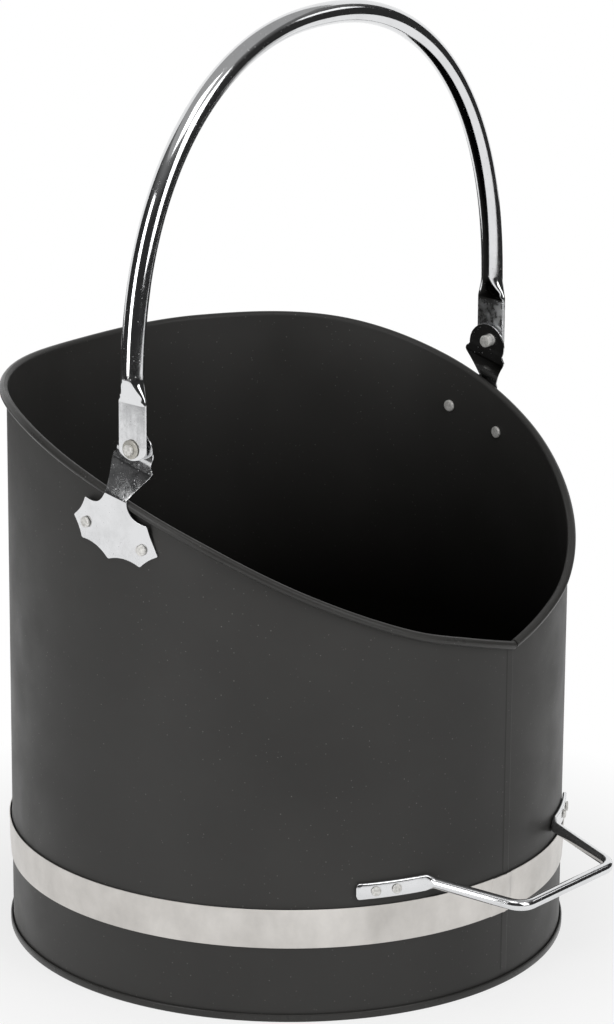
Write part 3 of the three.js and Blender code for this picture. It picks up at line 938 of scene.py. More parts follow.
@dataclass
class Drum:
    """The rolled body, its base pan and its band. Sizes are in millimetres."""

    radius: float = 150.0
    sheet: float = 0.8
    curl_radius: float = 2.35
    curl_end: float = -118.0
    curl_inner_end: float = 172.0
    curl_slot: float = 0.8
    seam_width: float = 4.2
    seam_rise: float = 0.3
    seam_flank: float = 0.5
    seam_foot: float = 7.5
    seam_cuts: tuple[float, ...] = (-0.4, 0.0, 0.5, 1.0, 1.4)
    swage: tuple[float, float, float, float] = (35.0, 54.0, 58.0, 67.0)
    swage_rise: float = 0.8
    seat: float = 0.3
    pan_rim: float = 4.2
    pan_thickness: float = 1.2
    pan_corner: tuple[Pair, ...] = ((1.2, 0.0), (0.35, 0.25), (0.0, 0.9))
    pan_fillet: float = 0.3
    pan_middle: float = 60.0
    band_heights: Pair = (41.0, 62.5)
    band_thickness: float = 0.4
    band_edge: float = 0.12
    band_seat: float = 0.25
    band_flare: float = 0.2
    band_lap: Pair = (-4.6, -0.35)
    rivet_seat: float = 0.35
    rim: RimCurve = field(default_factory=RimCurve)
    columns: int = 360
    crisp: float = 40.0

    def swell(self, z: float) -> float:
        """Outward rise of the swage.

        Args:
            z: Height on the wall.

        Returns:
            The rise.
        """
        low, crest_low, crest_high, high = self.swage
        up = smoothstep(z, low, crest_low)
        down = 1.0 - smoothstep(z, crest_high, high)
        return self.swage_rise * min(up, down)

    def under_band(self, z: float) -> float:
        """Radius that the stiff strip follows: the swage up to its crest, then a slight flare."""
        flare = self.band_flare * smoothstep(z, self.swage[2], self.band_heights[1])
        return self.radius + self.swell(min(z, self.swage[1])) + flare

    @property
    def seam_edge(self) -> float:
        """Half width of the lap seam at the foot of its flanks."""
        return self.seam_width / 2 + self.seam_flank

    def lap(self, x: float) -> float:
        """Rise of the lap seam at a distance from the seam's middle."""
        return self.seam_rise * (1.0 - smoothstep(abs(x), self.seam_width / 2, self.seam_edge))

    def spun(self, name: str, profile: Sequence[Pair]) -> Bench:
        """Spins a profile of radius and height about the drum's axis.

        Args:
            name: Name of the new object.
            profile: The profile in millimetres; the first column faces the high back.

        Returns:
            The bench with the spun form on it.
        """
        points = [Vector((0.0, radius, z)) * MM for radius, z in profile]
        bench = Bench(name, points[0])
        bench.draw(points[1:])
        bench.spin(ORIGIN, Z_AXIS, self.columns)
        return bench

    def slice_seam(self, bench: Bench, places: Sequence[float]) -> None:
        """Adds upright edges at the lip side.

        Args:
            bench: The spun form.
            places: Their distances from the seam's middle.
        """
        reach = max(abs(x) for x in places) + 3.0

        def near(centre: Vector) -> bool:
            """True for the faces around the seam."""
            return centre.y < 0 and abs(centre.x) < reach * MM

        for x in places:
            bench.slice(Vector((x, 0, 0)) * MM, X_AXIS, near)

    def wall_profile(self, top: float) -> list[Pair]:
        """Section of the sheet: up the inside, around the hollow curl and down the outside.

        Args:
            top: Height of the curl's centre.

        Returns:
            The closed profile, its last point the first one.
        """
        inside = self.radius - self.sheet
        centre = inside + self.curl_radius
        foot = self.sheet + self.seat
        swage = steps(self.swage[0], self.swage[1], 6) + steps(self.swage[2], self.swage[3], 6)
        profile = [(inside, foot)] + [(inside + self.swell(z), z) for z in swage]
        for radius, turns in (
            (self.curl_radius, steps(180, self.curl_end, 24)),
            (self.curl_radius - self.sheet, steps(self.curl_end, self.curl_inner_end, 14)),
        ):
            for turn in turns:
                out, up = on_circle(radius, turn)
                profile.append((centre + out, top + up))
        profile.append((self.radius, top - (self.curl_radius + self.sheet)))
        profile += [(self.radius + self.swell(z), z) for z in reversed(swage)]
        profile += [(self.radius, z) for z in (self.seam_foot + self.sheet, self.seam_foot, foot)]
        return [*profile, profile[0]]

    def shell(self) -> Piece:
        """Models the rolled sheet with swage, lap seam and hollow curled rim.

        Returns:
            The finished shell.
        """
        top = self.rim.height(180)
        seam_top = top - (self.curl_radius + self.sheet)
        touch = 0.1
        bench = self.spun("scuttle_shell", self.wall_profile(top))
        half, edge = self.seam_width / 2, self.seam_edge
        self.slice_seam(bench, [side * mix(half, edge, t) for side in (-1, 1) for t in self.seam_cuts])

        def draw_mouth(spot: Vector) -> Vector:
            """Raises the seam's lap and draws the mouth to its slant.

            Args:
                spot: A point of the upright drum with a level rim.

            Returns:
                Its place in the finished shell.
            """
            x, y, z = spot / MM
            reach = math.hypot(x, y)
            outer = reach > self.radius - touch + (self.swell(z) if z < top / 2 else 0.0)
            if y < 0 and outer and self.seam_foot + touch < z < seam_top + touch:
                grown = (reach + self.lap(x)) / reach
                x, y = x * grown, y * grown
            if z > self.swage[3] + 1:
                z += self.rim.height(math.degrees(math.atan2(x, -y))) - top
            return Vector((x, y, z)) * MM

        bench.shape(draw_mouth)
        piece = bench.done(self.crisp)
        self.slit(piece)
        return settle(piece, self.crisp)

    def slit(self, piece: Piece) -> None:
        """Cuts the slot where the two ends of the curl meet.

        Args:
            piece: The shell.
        """
        deselect_all()
        tall = 4 * self.curl_radius
        spot = Vector((self.seam_width / 4, -self.radius - self.seat - tall / 2, self.rim.height(0))) * MM
        size = Vector((self.curl_slot, tall, tall)) * MM
        bpy.ops.mesh.primitive_cube_add(size=1.0, location=spot, scale=size)
        cutter = bpy.context.object
        apply_modifier(piece, "BOOLEAN", object=cutter, operation="DIFFERENCE", solver="EXACT")
        bpy.data.objects.remove(cutter)

    def pan(self) -> Piece:
        """Models the base pan with its folded edge.

        Returns:
            The finished pan.
        """
        inside = self.radius + self.seat
        outside = inside + self.pan_thickness
        roll = self.pan_thickness / 2
        profile = [(0.0, 0.0), (self.pan_middle, 0.0)]
        profile += [(outside - inset, z) for inset, z in self.pan_corner]
        for turn in steps(0, 180, 8):
            out, up = on_circle(roll, turn)
            profile.append((inside + roll + out, self.pan_rim - roll + up))
        profile += [(inside, self.sheet + self.pan_fillet), (inside - self.pan_fillet, self.sheet)]
        profile += [(self.pan_middle, self.sheet), (0.0, self.sheet)]
        return self.spun("base_pan_finish", profile).done()

    def band_profile(self) -> list[Pair]:
        """Section of the bright strip with softened outer edges.

        Returns:
            The closed profile, its last point the first one.
        """
        low, high = self.band_heights
        soft = self.band_edge
        outer = self.band_seat + self.band_thickness
        heights = steps(low + 1.0, high - 1.0, 9)
        back = [(self.under_band(z) + self.band_seat, z) for z in [low, *heights, high]]
        face = [(self.under_band(z) + outer, z) for z in [high - soft, *reversed(heights), low + soft]]
        upper = (self.under_band(high) + outer - soft, high)
        lower = (self.under_band(low) + outer - soft, low)
        return [*back, upper, *face, lower, back[0]]

    def band(self) -> Piece:
        """Models the bright strip with its lapped end.

        Returns:
            The finished strip.
        """
        bench = self.spun("band_strip", self.band_profile())
        middle = self.band_seat + self.band_thickness / 2
        edge = self.seam_edge
        drape = edge + self.seam_flank
        first, last = (on_circle(self.radius, angle)[1] for angle in self.band_lap)
        lap = [first - self.seam_flank, first, last, last + self.seam_flank / 4]
        self.slice_seam(bench, [-drape, -edge, edge, drape, *lap])

        def lay_over_seam(spot: Vector) -> Vector:
            """Lifts the strip over the lap seam and its own inner end.

            Args:
                spot: A point of the round strip.

            Returns:
                Its place in the finished strip.
            """
            x, y, z = spot / MM
            if y > 0:
                return spot
            reach = math.hypot(x, y)
            rise = self.seam_rise * (1.0 - smoothstep(abs(x), edge, drape))
            if reach > self.under_band(z) + middle and first - 0.01 <= x <= last + 0.01:
                rise += self.band_thickness
            return Vector((x * (reach + rise) / reach, y * (reach + rise) / reach, z)) * MM

        bench.shape(lay_over_seam)
        return bench.done()

    def fasten(self, rivet: RivetSize, node: str, wall: Vector, clamped: float, finish: Finish) -> None:
        """Models and dresses a rivet through the wall and a piece that lies on it.

        Args:
            rivet: Its sizes.
            node: The solid's node that it replaces.
            wall: Middle of its hole on the wall's outside.
            clamped: Thickness of the piece under its head.
            finish: Its finish.
        """
        outward = Vector((wall.x, wall.y, 0.0)).normalized()
        stack = clamped + 2 * self.seat
        foot = (wall + outward * stack) * MM
        piece = rivet.build(f"{node}_finish", foot, outward, stack + self.sheet + self.rivet_seat)
        finish.dress(piece, node)

    def build(self, finishes: Finishes) -> None:
        """Models and dresses the drum's pieces.

        Args:
            finishes: The scuttle's finishes.
        """
        finishes.coat.dress(self.shell(), "body_shell")
        finishes.coat.dress(self.pan(), "base_pan")
        finishes.band.dress(self.band(), "chrome_band")


@dataclass
class Ear:
    """A stamped ear: scalloped plate, neck, crank over the rim and an upright lobe.

    Sizes are in millimetres. A point of the plan is written as u, across, and v, up the ear.
    """

    drum: Drum
    sheet: float = 0.8
    tilt: float = 13.5
    y: float = -10.0
    z: float = 253.5
    rivet_offset: float = 18.2
    pivot_reach: float = 48.8
    lift: Pair = (4.5, 20.0)
    lift_soft: float = 2.5
    crank: Pair = (23.5, 38.5)
    fold_radius: float = 0.8
    head_x: float = 145.0
    dish: tuple[Pair, Pair] = ((39.0, 43.5), (45.5, 58.5))
    dish_slope: float = 0.061
    dish_soft: float = 0.5
    tips: tuple[Pair, ...] = (
        (0.0, -12.8), (19.4, -9.5), (27.8, -0.1), (19.9, 14.6), (6.7, 23.5), (12.9, 37.2),
    )
    hollows: tuple[Pair, ...] = ((9.2, -6.6), (22.5, -3.8), (22.3, 6.4), (9.1, 12.7), (9.3, 31.0))
    sharp_tips: int = 4
    tip_round: float = 1.1
    shoulder: tuple[Pair, ...] = ((13.35, 38.2), (13.6, 39.2), (13.55, 40.2), (13.1, 41.1), (12.3, 41.8))
    head_centre: float = 46.2
    head_radius: float = 12.0
    notch_drop: float = 3.2
    plate_rows: tuple[Row, ...] = ((-11.0, 1.0, 4), (2.0, 7.0, 5), (10.0, 22.0, 8))
    leaning_rows: Row = (27.0, 36.0, 5)
    head_row: float = 52.0
    upright_rows: Row = (-27.0, 27.0, 27)
    edge_round: float = 0.42
    crisp: float = 50.0
    rivet: RivetSize = RivetSize(2.0, 2.95, 1.3, 3.25, 1.2)

    def plan(self, u: float, v: float) -> Pair:
        """Finds a point of the ear's plan.

        Args:
            u: Place across the plan.
            v: Place up the plan.

        Returns:
            Its Y and Z.
        """
        turn = math.radians(self.tilt)
        y = self.y - u * math.cos(turn) - v * math.sin(turn)
        return y, self.z - u * math.sin(turn) + v * math.cos(turn)

    @property
    def pivot(self) -> Pair:
        """Y and Z of the pivot."""
        return self.plan(0.0, self.pivot_reach)

    def surface(self, u: float, v: float) -> Vector:
        """Middle surface of the formed ear on the +X side.

        Args:
            u: Place across the plan.
            v: Place up the plan.

        Returns:
            The point in metres.
        """
        y, z = self.plan(u, v)
        drum = self.drum
        on_wall = drum.radius + drum.seat + self.sheet / 2
        over_rim = drum.radius - drum.sheet + 2 * drum.curl_radius + drum.seat + self.sheet / 2
        radius = mix(on_wall, over_rim, self.ramp(v, self.lift, self.lift_soft))
        x = math.sqrt(radius * radius - y * y)
        lean = self.ramp(v, self.crank, self.fold_radius)
        return Vector((mix(x, self.head_x + self.sheet / 2, lean) - self.dished(v), y, z)) * MM

    def dished(self, v: float) -> float:
        """Distance by which the lobe leans inwards.

        Args:
            v: Place up the plan.

        Returns:
            The distance.
        """
        return sum(
            self.dish_slope * (high - low) * self.ramp(v, (low, high), self.dish_soft)
            for low, high in self.dish
        )

    @staticmethod
    def ramp(v: float, ends: Pair, soft: float) -> float:
        """Share along a straight ramp whose two ends are rounded.

        Args:
            v: Height on the ear.
            ends: Where the ramp starts and ends.
            soft: Half length of the rounding.

        Returns:
            The share between 0 and 1.
        """
        low, high = ends
        run = high - low
        if abs(v - low) < soft:
            return (v - low + soft) ** 2 / (4 * soft) / run
        if abs(v - high) < soft:
            return 1.0 - (high + soft - v) ** 2 / (4 * soft) / run
        return min(max((v - low) / run, 0.0), 1.0)

    def outline(self) -> list[Pair]:
        """The stamped outline in plan.

        Returns:
            Its points, running around from the lowest one.
        """
        half = [
            bow(start, hollow, end, t)
            for start, hollow, end in zip(self.tips, self.hollows, self.tips[1:])
            for t in steps(0.0, 1.0, 12)[:-1]
        ]
        half += [self.tips[-1], *self.shoulder]
        notch = -math.degrees(math.asin(self.notch_drop / self.head_radius))
        for turn in steps(notch, 90.0, 16):
            out, up = on_circle(self.head_radius, turn)
            half.append((out, self.head_centre + up))
        half = self.rounded(half)
        return half + [(-u, v) for u, v in reversed(half[1:-1])]

    def rounded(self, outline: Sequence[Pair]) -> list[Pair]:
        """Rounds the sharp tips of an outline.

        Args:
            outline: Points of the right half, from the tip on the middle line to the head.

        Returns:
            The outline with small arcs for tips.
        """
        tips = self.tips[:self.sharp_tips]
        made: list[Pair] = []
        for i, point in enumerate(outline):
            spot = Vector(point)
            if point in tips:
                before = outline[i - 1] if i else (-outline[1][0], outline[1][1])
                start, end = (
                    spot + (Vector(other) - spot).normalized() * self.tip_round
                    for other in (before, outline[i + 1])
                )
                for t in steps(0.0 if i else 0.5, 1.0, 4):
                    u, v = bow(start, point, end, t)
                    made.append((max(u, 0.0), v))
            elif min((spot - Vector(tip)).length for tip in tips) > self.tip_round:
                made.append(point)
        return made

    def rows(self) -> list[float]:
        """Heights at which the flat blank is divided, close together where it bends.

        Returns:
            The heights, in the order of the cuts.
        """
        plate = [v for row in self.plate_rows for v in steps(*row)]
        bend = steps(-self.fold_radius, self.fold_radius, 4)
        folds = [turn + shift for turn in self.crank for shift in bend]
        hollow = steps(-self.dish_soft, self.dish_soft, 2)
        lobe = [turn + shift for turn in (self.dish[0][1], self.dish[1][0]) for shift in hollow]
        return plate + folds + steps(*self.leaning_rows) + lobe + [self.head_row]

    def build_side(self, side: Side) -> Piece:
        """Stamps the outline, forms it over the rim and gives it its thickness.

        Args:
            side: Side of the drum.

        Returns:
            The finished ear.
        """
        points = [Vector((u, v, 0.0)) * MM for u, v in self.outline()]
        bench = Bench(f"ear_stamping_{side.word}", points[0])
        bench.draw([*points[1:], points[0]])
        bench.close()
        for v in self.rows():
            bench.slice(Y_AXIS * v * MM, Y_AXIS)
        for u in steps(*self.upright_rows):
            bench.slice(X_AXIS * u * MM, X_AXIS)

        def form(spot: Vector) -> Vector:
            """Presses a point of the flat blank into the formed ear."""
            made = self.surface(spot.x / MM, spot.y / MM)
            return Vector((made.x * side.value, made.y, made.z))

        bench.shape(form)
        bench.weld(1e-6)
        piece = bench.done(self.crisp)
        apply_modifier(piece, "SOLIDIFY", thickness=self.sheet * MM, offset=0.0, use_even_offset=True)
        limit = math.radians(self.crisp)
        apply_modifier(
            piece, "BEVEL", width=self.edge_round * MM, segments=4, limit_method="ANGLE", angle_limit=limit
        )
        settle(piece, self.crisp)
        apply_modifier(piece, "WEIGHTED_NORMAL", keep_sharp=True)
        return piece

    def build(self, finishes: Finishes) -> None:
        """Models and dresses both ears and their rivets.

        Args:
            finishes: The scuttle's finishes.
        """
        drum = self.drum
        for side in Side:
            finishes.plate.dress(self.build_side(side), f"ear_{side.word}")
            for end, word in ((1, "front"), (-1, "rear")):
                y, z = self.plan(end * self.rivet_offset, 0.0)
                wall = Vector((side.value * math.sqrt(drum.radius ** 2 - y * y), y, z))
                drum.fasten(self.rivet, f"ear_rivet_{side.word}_{word}", wall, self.sheet, finishes.rivet)


@dataclass(frozen=True)
class Station:
    """One section of a bar: centre in metres, half sizes in millimetres.

    A fullness of 0 gives two half circles with a flat between them, 1 gives an oval.
    """

    centre: Vector
    width: float
    thickness: float
    fullness: float = 0.0


def swept_bar(name: str, stations: Sequence[Station], wide: Vector, sides: int) -> Piece:
    """Bridges rounded sections, a pair at a time, and caps both ends.

    Args:
        name: Name of the piece.
        stations: The sections in order.
        wide: Direction along which a section's width lies.
        sides: Points around a section.

    Returns:
        The finished bar.
    """
    bench = Bench(name, stations[0].centre)
    bpy.ops.mesh.delete(type="VERT")
    last = len(stations) - 1
    for i, station in enumerate(stations):
        before = stations[max(i - 1, 0)].centre
        after = stations[min(i + 1, last)].centre
        along = (after - before).normalized()
        across = (wide - along * wide.dot(along)).normalized()
        turn = Matrix((across, along.cross(across), along)).transposed().to_euler()
        oval = mix(station.thickness, station.width, station.fullness)
        bpy.ops.mesh.primitive_circle_add(
            vertices=sides,
            radius=station.thickness * MM,
            location=station.centre,
            rotation=turn,
            fill_type="NGON" if i in (0, last) else "NOTHING",
        )
        bench.stretch_newest(sides, station.centre, across, oval / station.thickness)
        spread = (station.width - oval) * MM
        if spread > 1e-6:
            for side in (-1, 1):
                bench.select_newest(sides, lambda spot: side * (spot - station.centre).dot(across) > 1e-7)
                bpy.ops.transform.translate(value=across * side * spread)
        if i:
            bench.bridge_newest(sides)
    return bench.done()


@dataclass
class Bail:
    """The arched carrying handle with its pivots. Sizes are in millimetres."""

    ear: Ear
    tube: float = 6.0
    half_span: float = 147.5
    spring: float = 30.0
    rise: float = 171.0
    fullness: float = 2.2
    flat_thickness: float = 2.4
    flat_width: float = 18.2
    flat_rows: Row = (2.0, 23.4, 8)
    crease: Pair = (24.0, 37.0)
    end_drop: float = 6.0
    end_radius: float = 12.8
    end_shares: tuple[float, ...] = (0.02, 0.08, 0.2, 0.35, 0.52, 0.7, 0.86, 1.0)
    corner_inset: float = 0.35
    corner_height: float = 0.5
    washer_radius: float = 5.0
    washer_thickness: float = 1.0
    washer_play: float = 0.2
    washer_foot: float = 0.1
    washer_edge: tuple[Pair, ...] = ((0.0, 0.6), (0.12, 0.88), (0.4, 1.0))
    seat: float = 0.3
    rivet: RivetSize = RivetSize(2.5, 2.8, 1.7, 3.3, 2.8, flat=0.86, wall=0.82)

    def arch_x(self, height: float) -> float:
        """Half span of the arch at a height above the pivots."""
        t = max(height - self.spring, 0.0) / self.rise
        return self.half_span * (1 - t ** self.fullness) ** (1 / self.fullness)

    def pressed_end(self) -> list[Section]:
        """Sections of the right leg's flat, from its round tip to the crease.

        Returns:
            For each section its x, height above the pivots, half sizes and fullness.
        """
        flat, broad = self.flat_thickness / 2, self.flat_width / 2
        corner = self.end_radius - math.sqrt(self.end_radius ** 2 - broad ** 2)
        widths = []
        for share in self.end_shares:
            up = share * corner
            inset = self.corner_inset if share == 1.0 else 0.0
            widths.append((up - self.end_drop, math.sqrt(2 * self.end_radius * up - up * up) - inset))
        widths.append((corner - self.end_drop + self.corner_height, broad))
        widths += [(up, broad) for up in steps(*self.flat_rows)]
        return [(self.half_span, up, width, flat, 0.0) for up, width in widths]

    def half(self) -> list[Section]:
        """Sections of the right leg from its tip to the crown.

        Returns:
            For each section its x, height above the pivots, half sizes and fullness.
        """
        rows = self.pressed_end()
        low, high = self.crease
        for up in steps(low, high, 20):
            share = (up - low) / (high - low)
            width = mix(self.flat_width / 2, self.tube, smoothstep(share, 0, 1))
            thickness = mix(self.flat_thickness / 2, self.tube, math.sin(share * math.pi / 2))
            rows.append((self.arch_x(up), up, width, thickness, smoothstep(share, 0, 0.3)))
        first = math.asin(((high + self.tube / 2 - self.spring) / self.rise) ** (self.fullness / 2))
        for turn in steps(first, math.pi / 2, 70):
            x = self.half_span * max(math.cos(turn), 0.0) ** (2 / self.fullness)
            up = self.spring + self.rise * math.sin(turn) ** (2 / self.fullness)
            rows.append((x if turn < math.pi / 2 - 1e-6 else 0.0, up, self.tube, self.tube, 1.0))
        return rows

    def washer_profile(self) -> list[Pair]:
        """Section of a washer with a softened outer edge.

        Returns:
            Pairs of radius and height.
        """
        hole, rim, tall = self.rivet.shaft + self.washer_play, self.washer_radius, self.washer_thickness
        foot = [(hole, 0.0), (rim - self.washer_foot, 0.0), (rim, self.washer_foot)]
        edge = [(rim - inset, tall * share) for inset, share in self.washer_edge]
        return [*foot, *edge, (hole, tall), (hole, 0.0)]

    def build(self, finishes: Finishes) -> None:
        """Models and dresses the bail, its washers and its pivot rivets.

        Args:
            finishes: The scuttle's finishes.
        """
        y, z = self.ear.pivot
        half = self.half()
        rows = half + [(-x, *rest) for x, *rest in reversed(half[:-1])]
        stations = [Station(Vector((x, y, z + up)) * MM, *sizes) for x, up, *sizes in rows]
        finishes.bail.dress(swept_bar("bail_bar", stations, Y_AXIS, 32), "bail_handle", Body.BAIL)
        washer_x = self.half_span + self.flat_thickness / 2 + self.seat
        head_x = washer_x + self.washer_thickness + self.seat / 2
        grip = head_x - self.ear.head_x + 2 * self.seat
        for side in Side:
            axis = Vector((side.value, 0, 0))
            foot = Vector((side.value * washer_x, y, z)) * MM
            washer = turned(f"washer_{side.word}", self.washer_profile(), foot, axis, 40)
            finishes.washer.dress(washer, f"bail_washer_{side.word}")
            foot = Vector((side.value * head_x, y, z)) * MM
            rivet = self.rivet.build(f"pivot_rivet_{side.word}", foot, axis, grip)
            finishes.rivet.dress(rivet, f"bail_pivot_rivet_{side.word}")


@dataclass
class TipHandle:
    """The fixed bent rod low on the lip side. Sizes are in millimetres."""

    drum: Drum
    rod: float = 3.0
    foot_width: float = 9.2
    foot_thickness: float = 2.2
    foot_z: float = 71.0
    foot_end: float = 35.8
    foot_tip: tuple[Point, ...] = ((0.55, 0.55, 0.8), (0.35, 0.86, 1.0))
    foot_neck: float = 22.6
    neck_cross: float = 20.6
    neck_radius: float = 7.0
    rivet_angles: Pair = (32.4, 28.1)
    corner: Point = (39.0, -191.0, 65.4)
    corner_radius: float = 10.0
    rivet: RivetSize = RivetSize(1.6, 2.6, 1.0, 2.7, 1.2)

    def bend(self, before: Vector, corner: Vector, after: Vector, radius: float, count: int) -> list[Vector]:
        """Points of a round bend between two straight lines.

        Args:
            before: A point on the first line.
            corner: Where the lines cross.
            after: A point on the second line.
            radius: Radius of the bend.
            count: Intervals of the bend.

        Returns:
            Points along the bend.
        """
        inward = (before - corner).normalized()
        outward = (after - corner).normalized()
        half = inward.angle(outward) / 2
        reach = radius / math.tan(half)
        centre = corner + (inward + outward).normalized() * (radius / math.sin(half))
        start = corner + inward * reach - centre
        end = corner + outward * reach - centre
        sweep = start.angle(end)
        whole = math.sin(sweep)
        return [
            centre + start * (math.sin((1 - t) * sweep) / whole) + end * (math.sin(t * sweep) / whole)
            for t in steps(0.0, 1.0, count)
        ]

    def half(self) -> list[tuple[Vector, float, float]]:
        """Sections of the right half, from its foot's tip to the middle of the grip.

        Returns:
            For each section its centre and half sizes.
        """
        foot_radius = self.drum.radius + self.drum.seat + self.foot_thickness / 2
        wide, thin = self.foot_width / 2, self.foot_thickness / 2

        def on_wall(angle: float) -> Vector:
            """Middle of the foot at an angle."""
            return around(foot_radius, angle, self.foot_z)

        rows = [(on_wall(self.foot_end + beyond), wide * w, thin * t) for beyond, w, t in self.foot_tip]
        rows += [(on_wall(angle), wide, thin) for angle in steps(self.foot_end, self.foot_neck + 1, 14)]
        neck = on_wall(self.neck_cross)
        corner = Vector(self.corner)
        mirror = Vector((-corner.x, corner.y, corner.z))
        around_neck = self.bend(on_wall(self.foot_neck), neck, corner, self.neck_radius, 12)
        for i, spot in enumerate(around_neck):
            t = smoothstep(i, 0, len(around_neck) - 1)
            rows.append((spot, mix(wide, self.rod, t), mix(thin, self.rod, t)))
        around_corner = self.bend(neck, corner, mirror, self.corner_radius, 16)
        return rows + [(spot, self.rod, self.rod) for spot in around_corner]

    def build(self, finishes: Finishes) -> None:
        """Models and dresses the rod and its rivets.

        Args:
            finishes: The scuttle's finishes.
        """
        half = self.half()
        rows = half + [(Vector((-p.x, p.y, p.z)), w, t) for p, w, t in reversed(half)]
        stations = [Station(p * MM, w, t) for p, w, t in rows]
        finishes.rod.dress(swept_bar("tip_handle_bar", stations, Z_AXIS, 24), "tip_handle")
        for side in Side:
            for angle, word in zip(self.rivet_angles, ("outer", "inner")):
                wall = around(self.drum.radius, side.value * angle, self.foot_z)
                node = f"tip_rivet_{side.word}_{word}"
                self.drum.fasten(self.rivet, node, wall, self.foot_thickness, finishes.rivet)


@dataclass(frozen=True)
class Lamp:
    """A rectangular soft lamp: places and sizes in metres, power in watts."""

    name: str
    spot: Point
    aim: Point
    size: Pair
    power: float

    def hang(self) -> None:
        """Puts the lamp in its place."""
        data = bpy.data.lights.new(self.name, "AREA")
        data.shape = "RECTANGLE"
        data.size, data.size_y = self.size
        data.energy = self.power
        lamp = bpy.data.objects.new(self.name, data)
        bpy.context.scene.collection.objects.link(lamp)
        lamp.location = self.spot
        lamp.rotation_euler = (Vector(self.aim) - Vector(self.spot)).to_track_quat("-Z", "Y").to_euler()


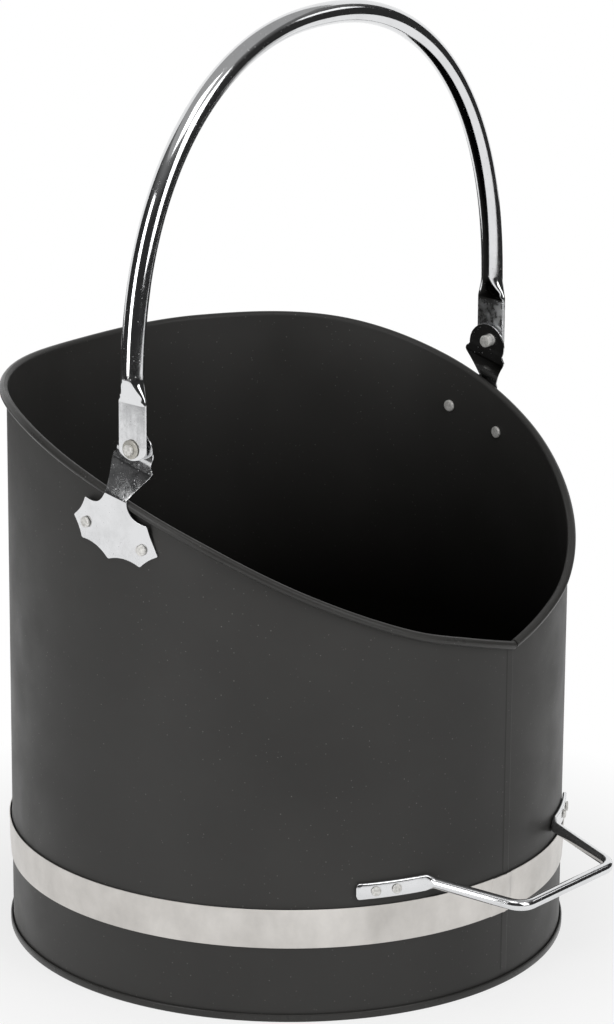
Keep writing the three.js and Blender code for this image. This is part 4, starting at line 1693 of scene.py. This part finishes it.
@dataclass
class Studio:
    """Camera, floor, dark cards, lamps and surround. Sizes are in metres, arcs in degrees."""

    camera_spot: Point = (-1.65086, -1.38746, 0.87692)
    right: Point = (0.641496, -0.767095, 0.006926)
    up: Point = (0.216033, 0.189310, 0.957858)
    back: Point = (-0.736079, -0.612966, 0.287160)
    focal_pixels: float = 4200.315
    image_height: int = 1024
    sensor: float = 24.0
    floor_radius: float = 6.0
    paper: float = 0.88
    shadow_reach: Pair = (0.16, 0.32)
    shadow_glow: float = 0.75
    card_radius: float = 1.75
    card_start: float = 1.3
    card_top: float = 2.2
    card_arc: float = 112.0
    card_lift: float = 0.002
    floor_shade: float = 0.02
    wall_shades: Pair = (0.03, 0.2)
    right_arc: float = 134.0
    strip_arc: Pair = (96.0, 113.0)
    strip_heights: Pair = (1.08, 1.42)
    strip_radius: float = 1.7
    strip_glow: float = 1.4
    ceiling_radius: float = 2.05
    ceiling_shade: float = 0.4
    far_reach: Pair = (0.95, 2.3)
    far_arc: float = 160.0
    far_lift: float = 0.001
    far_shade: float = 0.03
    shade_heights: Pair = (1.1, 2.2)
    surround: float = 0.25
    lamps: tuple[Lamp, ...] = (
        Lamp("left_soft", (-1.3, 0.05, 0.62), (0.0, 0.0, 0.4), (0.5, 1.1), 7.0),
        Lamp("front_soft", (-0.1, -1.4, 0.95), (0.0, 0.0, 0.25), (0.75, 1.3), 8.0),
        Lamp("top_soft", (-0.6, -0.5, 1.8), (0.0, 0.0, 0.3), (0.8, 0.8), 4.0),
    )

    def camera(self) -> None:
        """Sets the camera at the photograph's place."""
        data = bpy.data.cameras.new("camera")
        data.sensor_fit = "VERTICAL"
        data.sensor_height = self.sensor
        data.lens = self.focal_pixels / self.image_height * self.sensor
        data.clip_start = 0.05
        data.clip_end = 30.0
        camera = bpy.data.objects.new("camera", data)
        bpy.context.scene.collection.objects.link(camera)
        turn = Matrix((self.right, self.up, self.back)).transposed().to_4x4()
        camera.matrix_world = Matrix.Translation(Vector(self.camera_spot)) @ turn
        bpy.context.scene.camera = camera

    def floor(self) -> None:
        """Lays a large white floor that keeps the shadow near the object."""
        deselect_all()
        bpy.ops.mesh.primitive_circle_add(vertices=128, radius=self.floor_radius, fill_type="NGON")
        ground = bpy.context.object
        ground.name = "floor"
        tree = Shading.start("floor_paper")
        tree.shader.inputs["Base Color"].default_value = (self.paper, self.paper, self.paper, 1.0)
        tree.shader.inputs["Roughness"].default_value = 0.9
        tree.shader.inputs["Specular IOR Level"].default_value = 0.0
        far = tree.span(tree.reach(), *self.shadow_reach, self.shadow_glow, 1.0)
        glow = tree.node("ShaderNodeEmission", Strength=1.0)
        blend = tree.node("ShaderNodeMixShader")
        tree.link(tree.join("MULTIPLY", far, tree.seen_white()), blend.inputs["Fac"])
        tree.link(tree.shader.outputs["BSDF"], blend.inputs[1])
        tree.link(glow.outputs["Emission"], blend.inputs[2])
        tree.link(blend.outputs["Shader"], tree.surface)
        ground.data.materials.append(tree.host)

    def card(self, name: str, arc: Pair, rows: Sequence[Pair], shades: Pair) -> None:
        """Curves a card around the studio that only reflections see.

        Args:
            name: Name of the card.
            arc: Where it starts and ends, in degrees from the camera's direction.
            rows: Radius and height of its edges.
            shades: Its brightness up to the first and from the second of the shade heights.
        """
        toward = math.atan2(self.back[1], self.back[0])
        turns = [toward + math.radians(turn) for turn in steps(*arc, 48)]
        corners = [(r * math.cos(turn), r * math.sin(turn), z) for r, z in rows for turn in turns]
        count = len(turns)
        faces = [
            (row + i, row + i + 1, row + count + i + 1, row + count + i)
            for row in range(0, count * (len(rows) - 1), count)
            for i in range(count - 1)
        ]
        mesh = bpy.data.meshes.new(name)
        mesh.from_pydata(corners, [], faces)
        card = bpy.data.objects.new(name, mesh)
        bpy.context.scene.collection.objects.link(card)
        tree = Shading.start(name)
        glow = tree.node("ShaderNodeEmission", Color=(1.0, 1.0, 1.0, 1.0))
        tree.link(tree.span(tree.part("Z"), *self.shade_heights, *shades), glow.inputs["Strength"])
        tree.link(glow.outputs["Emission"], tree.surface)
        mesh.materials.append(tree.host)
        card.visible_camera = False
        card.visible_diffuse = False
        card.visible_shadow = False

    def cards(self) -> None:
        """Closes the dark side of the studio around the camera, and the grey ceiling."""
        arc, outer, top = self.card_arc, self.card_radius, self.card_top
        rows = [(self.card_start, self.card_lift), (outer, self.card_lift)]
        self.card("floor_card", (-arc, arc), rows, (self.floor_shade, self.floor_shade))
        self.card("wall_card", (-arc, self.right_arc), [(outer, 0.0), (outer, top)], self.wall_shades)
        rows = [(self.strip_radius, height) for height in self.strip_heights]
        self.card("right_strip", self.strip_arc, rows, (self.strip_glow, self.strip_glow))
        rows = [(0.01, top), (self.ceiling_radius, top)]
        self.card("ceiling_card", (-180.0, 180.0), rows, (self.ceiling_shade, self.ceiling_shade))
        rows = [(radius, self.far_lift) for radius in self.far_reach]
        for side in Side:
            ends = (side.value * arc, side.value * self.far_arc)
            self.card(f"far_card_{side.word}", ends, rows, (self.far_shade, self.far_shade))

    def world(self) -> None:
        """A surround that looks white and lights the object softly."""
        world = bpy.data.worlds.new("surround")
        world.use_nodes = True
        tree = Shading(world)
        background = world.node_tree.nodes["Background"]
        background.inputs["Color"].default_value = (1.0, 1.0, 1.0, 1.0)
        strength = tree.span(tree.seen_white(), 0.0, 1.0, self.surround, 1.0)
        tree.link(strength, background.inputs["Strength"])
        bpy.context.scene.world = world

    def build(self) -> None:
        """Sets up the whole studio."""
        self.camera()
        self.floor()
        self.cards()
        self.world()
        for lamp in self.lamps:
            lamp.hang()
        bpy.context.scene.view_settings.view_transform = "Standard"


def main() -> None:
    """Builds the scuttle's pieces and the studio in order."""
    logging.basicConfig(level=logging.INFO, format="%(name)s %(message)s")
    finishes = Finishes.make()
    drum = Drum()
    drum.build(finishes)
    ear = Ear(drum)
    ear.build(finishes)
    Bail(ear).build(finishes)
    TipHandle(drum).build(finishes)
    Studio().build()


if __name__ == "__main__":
    main()
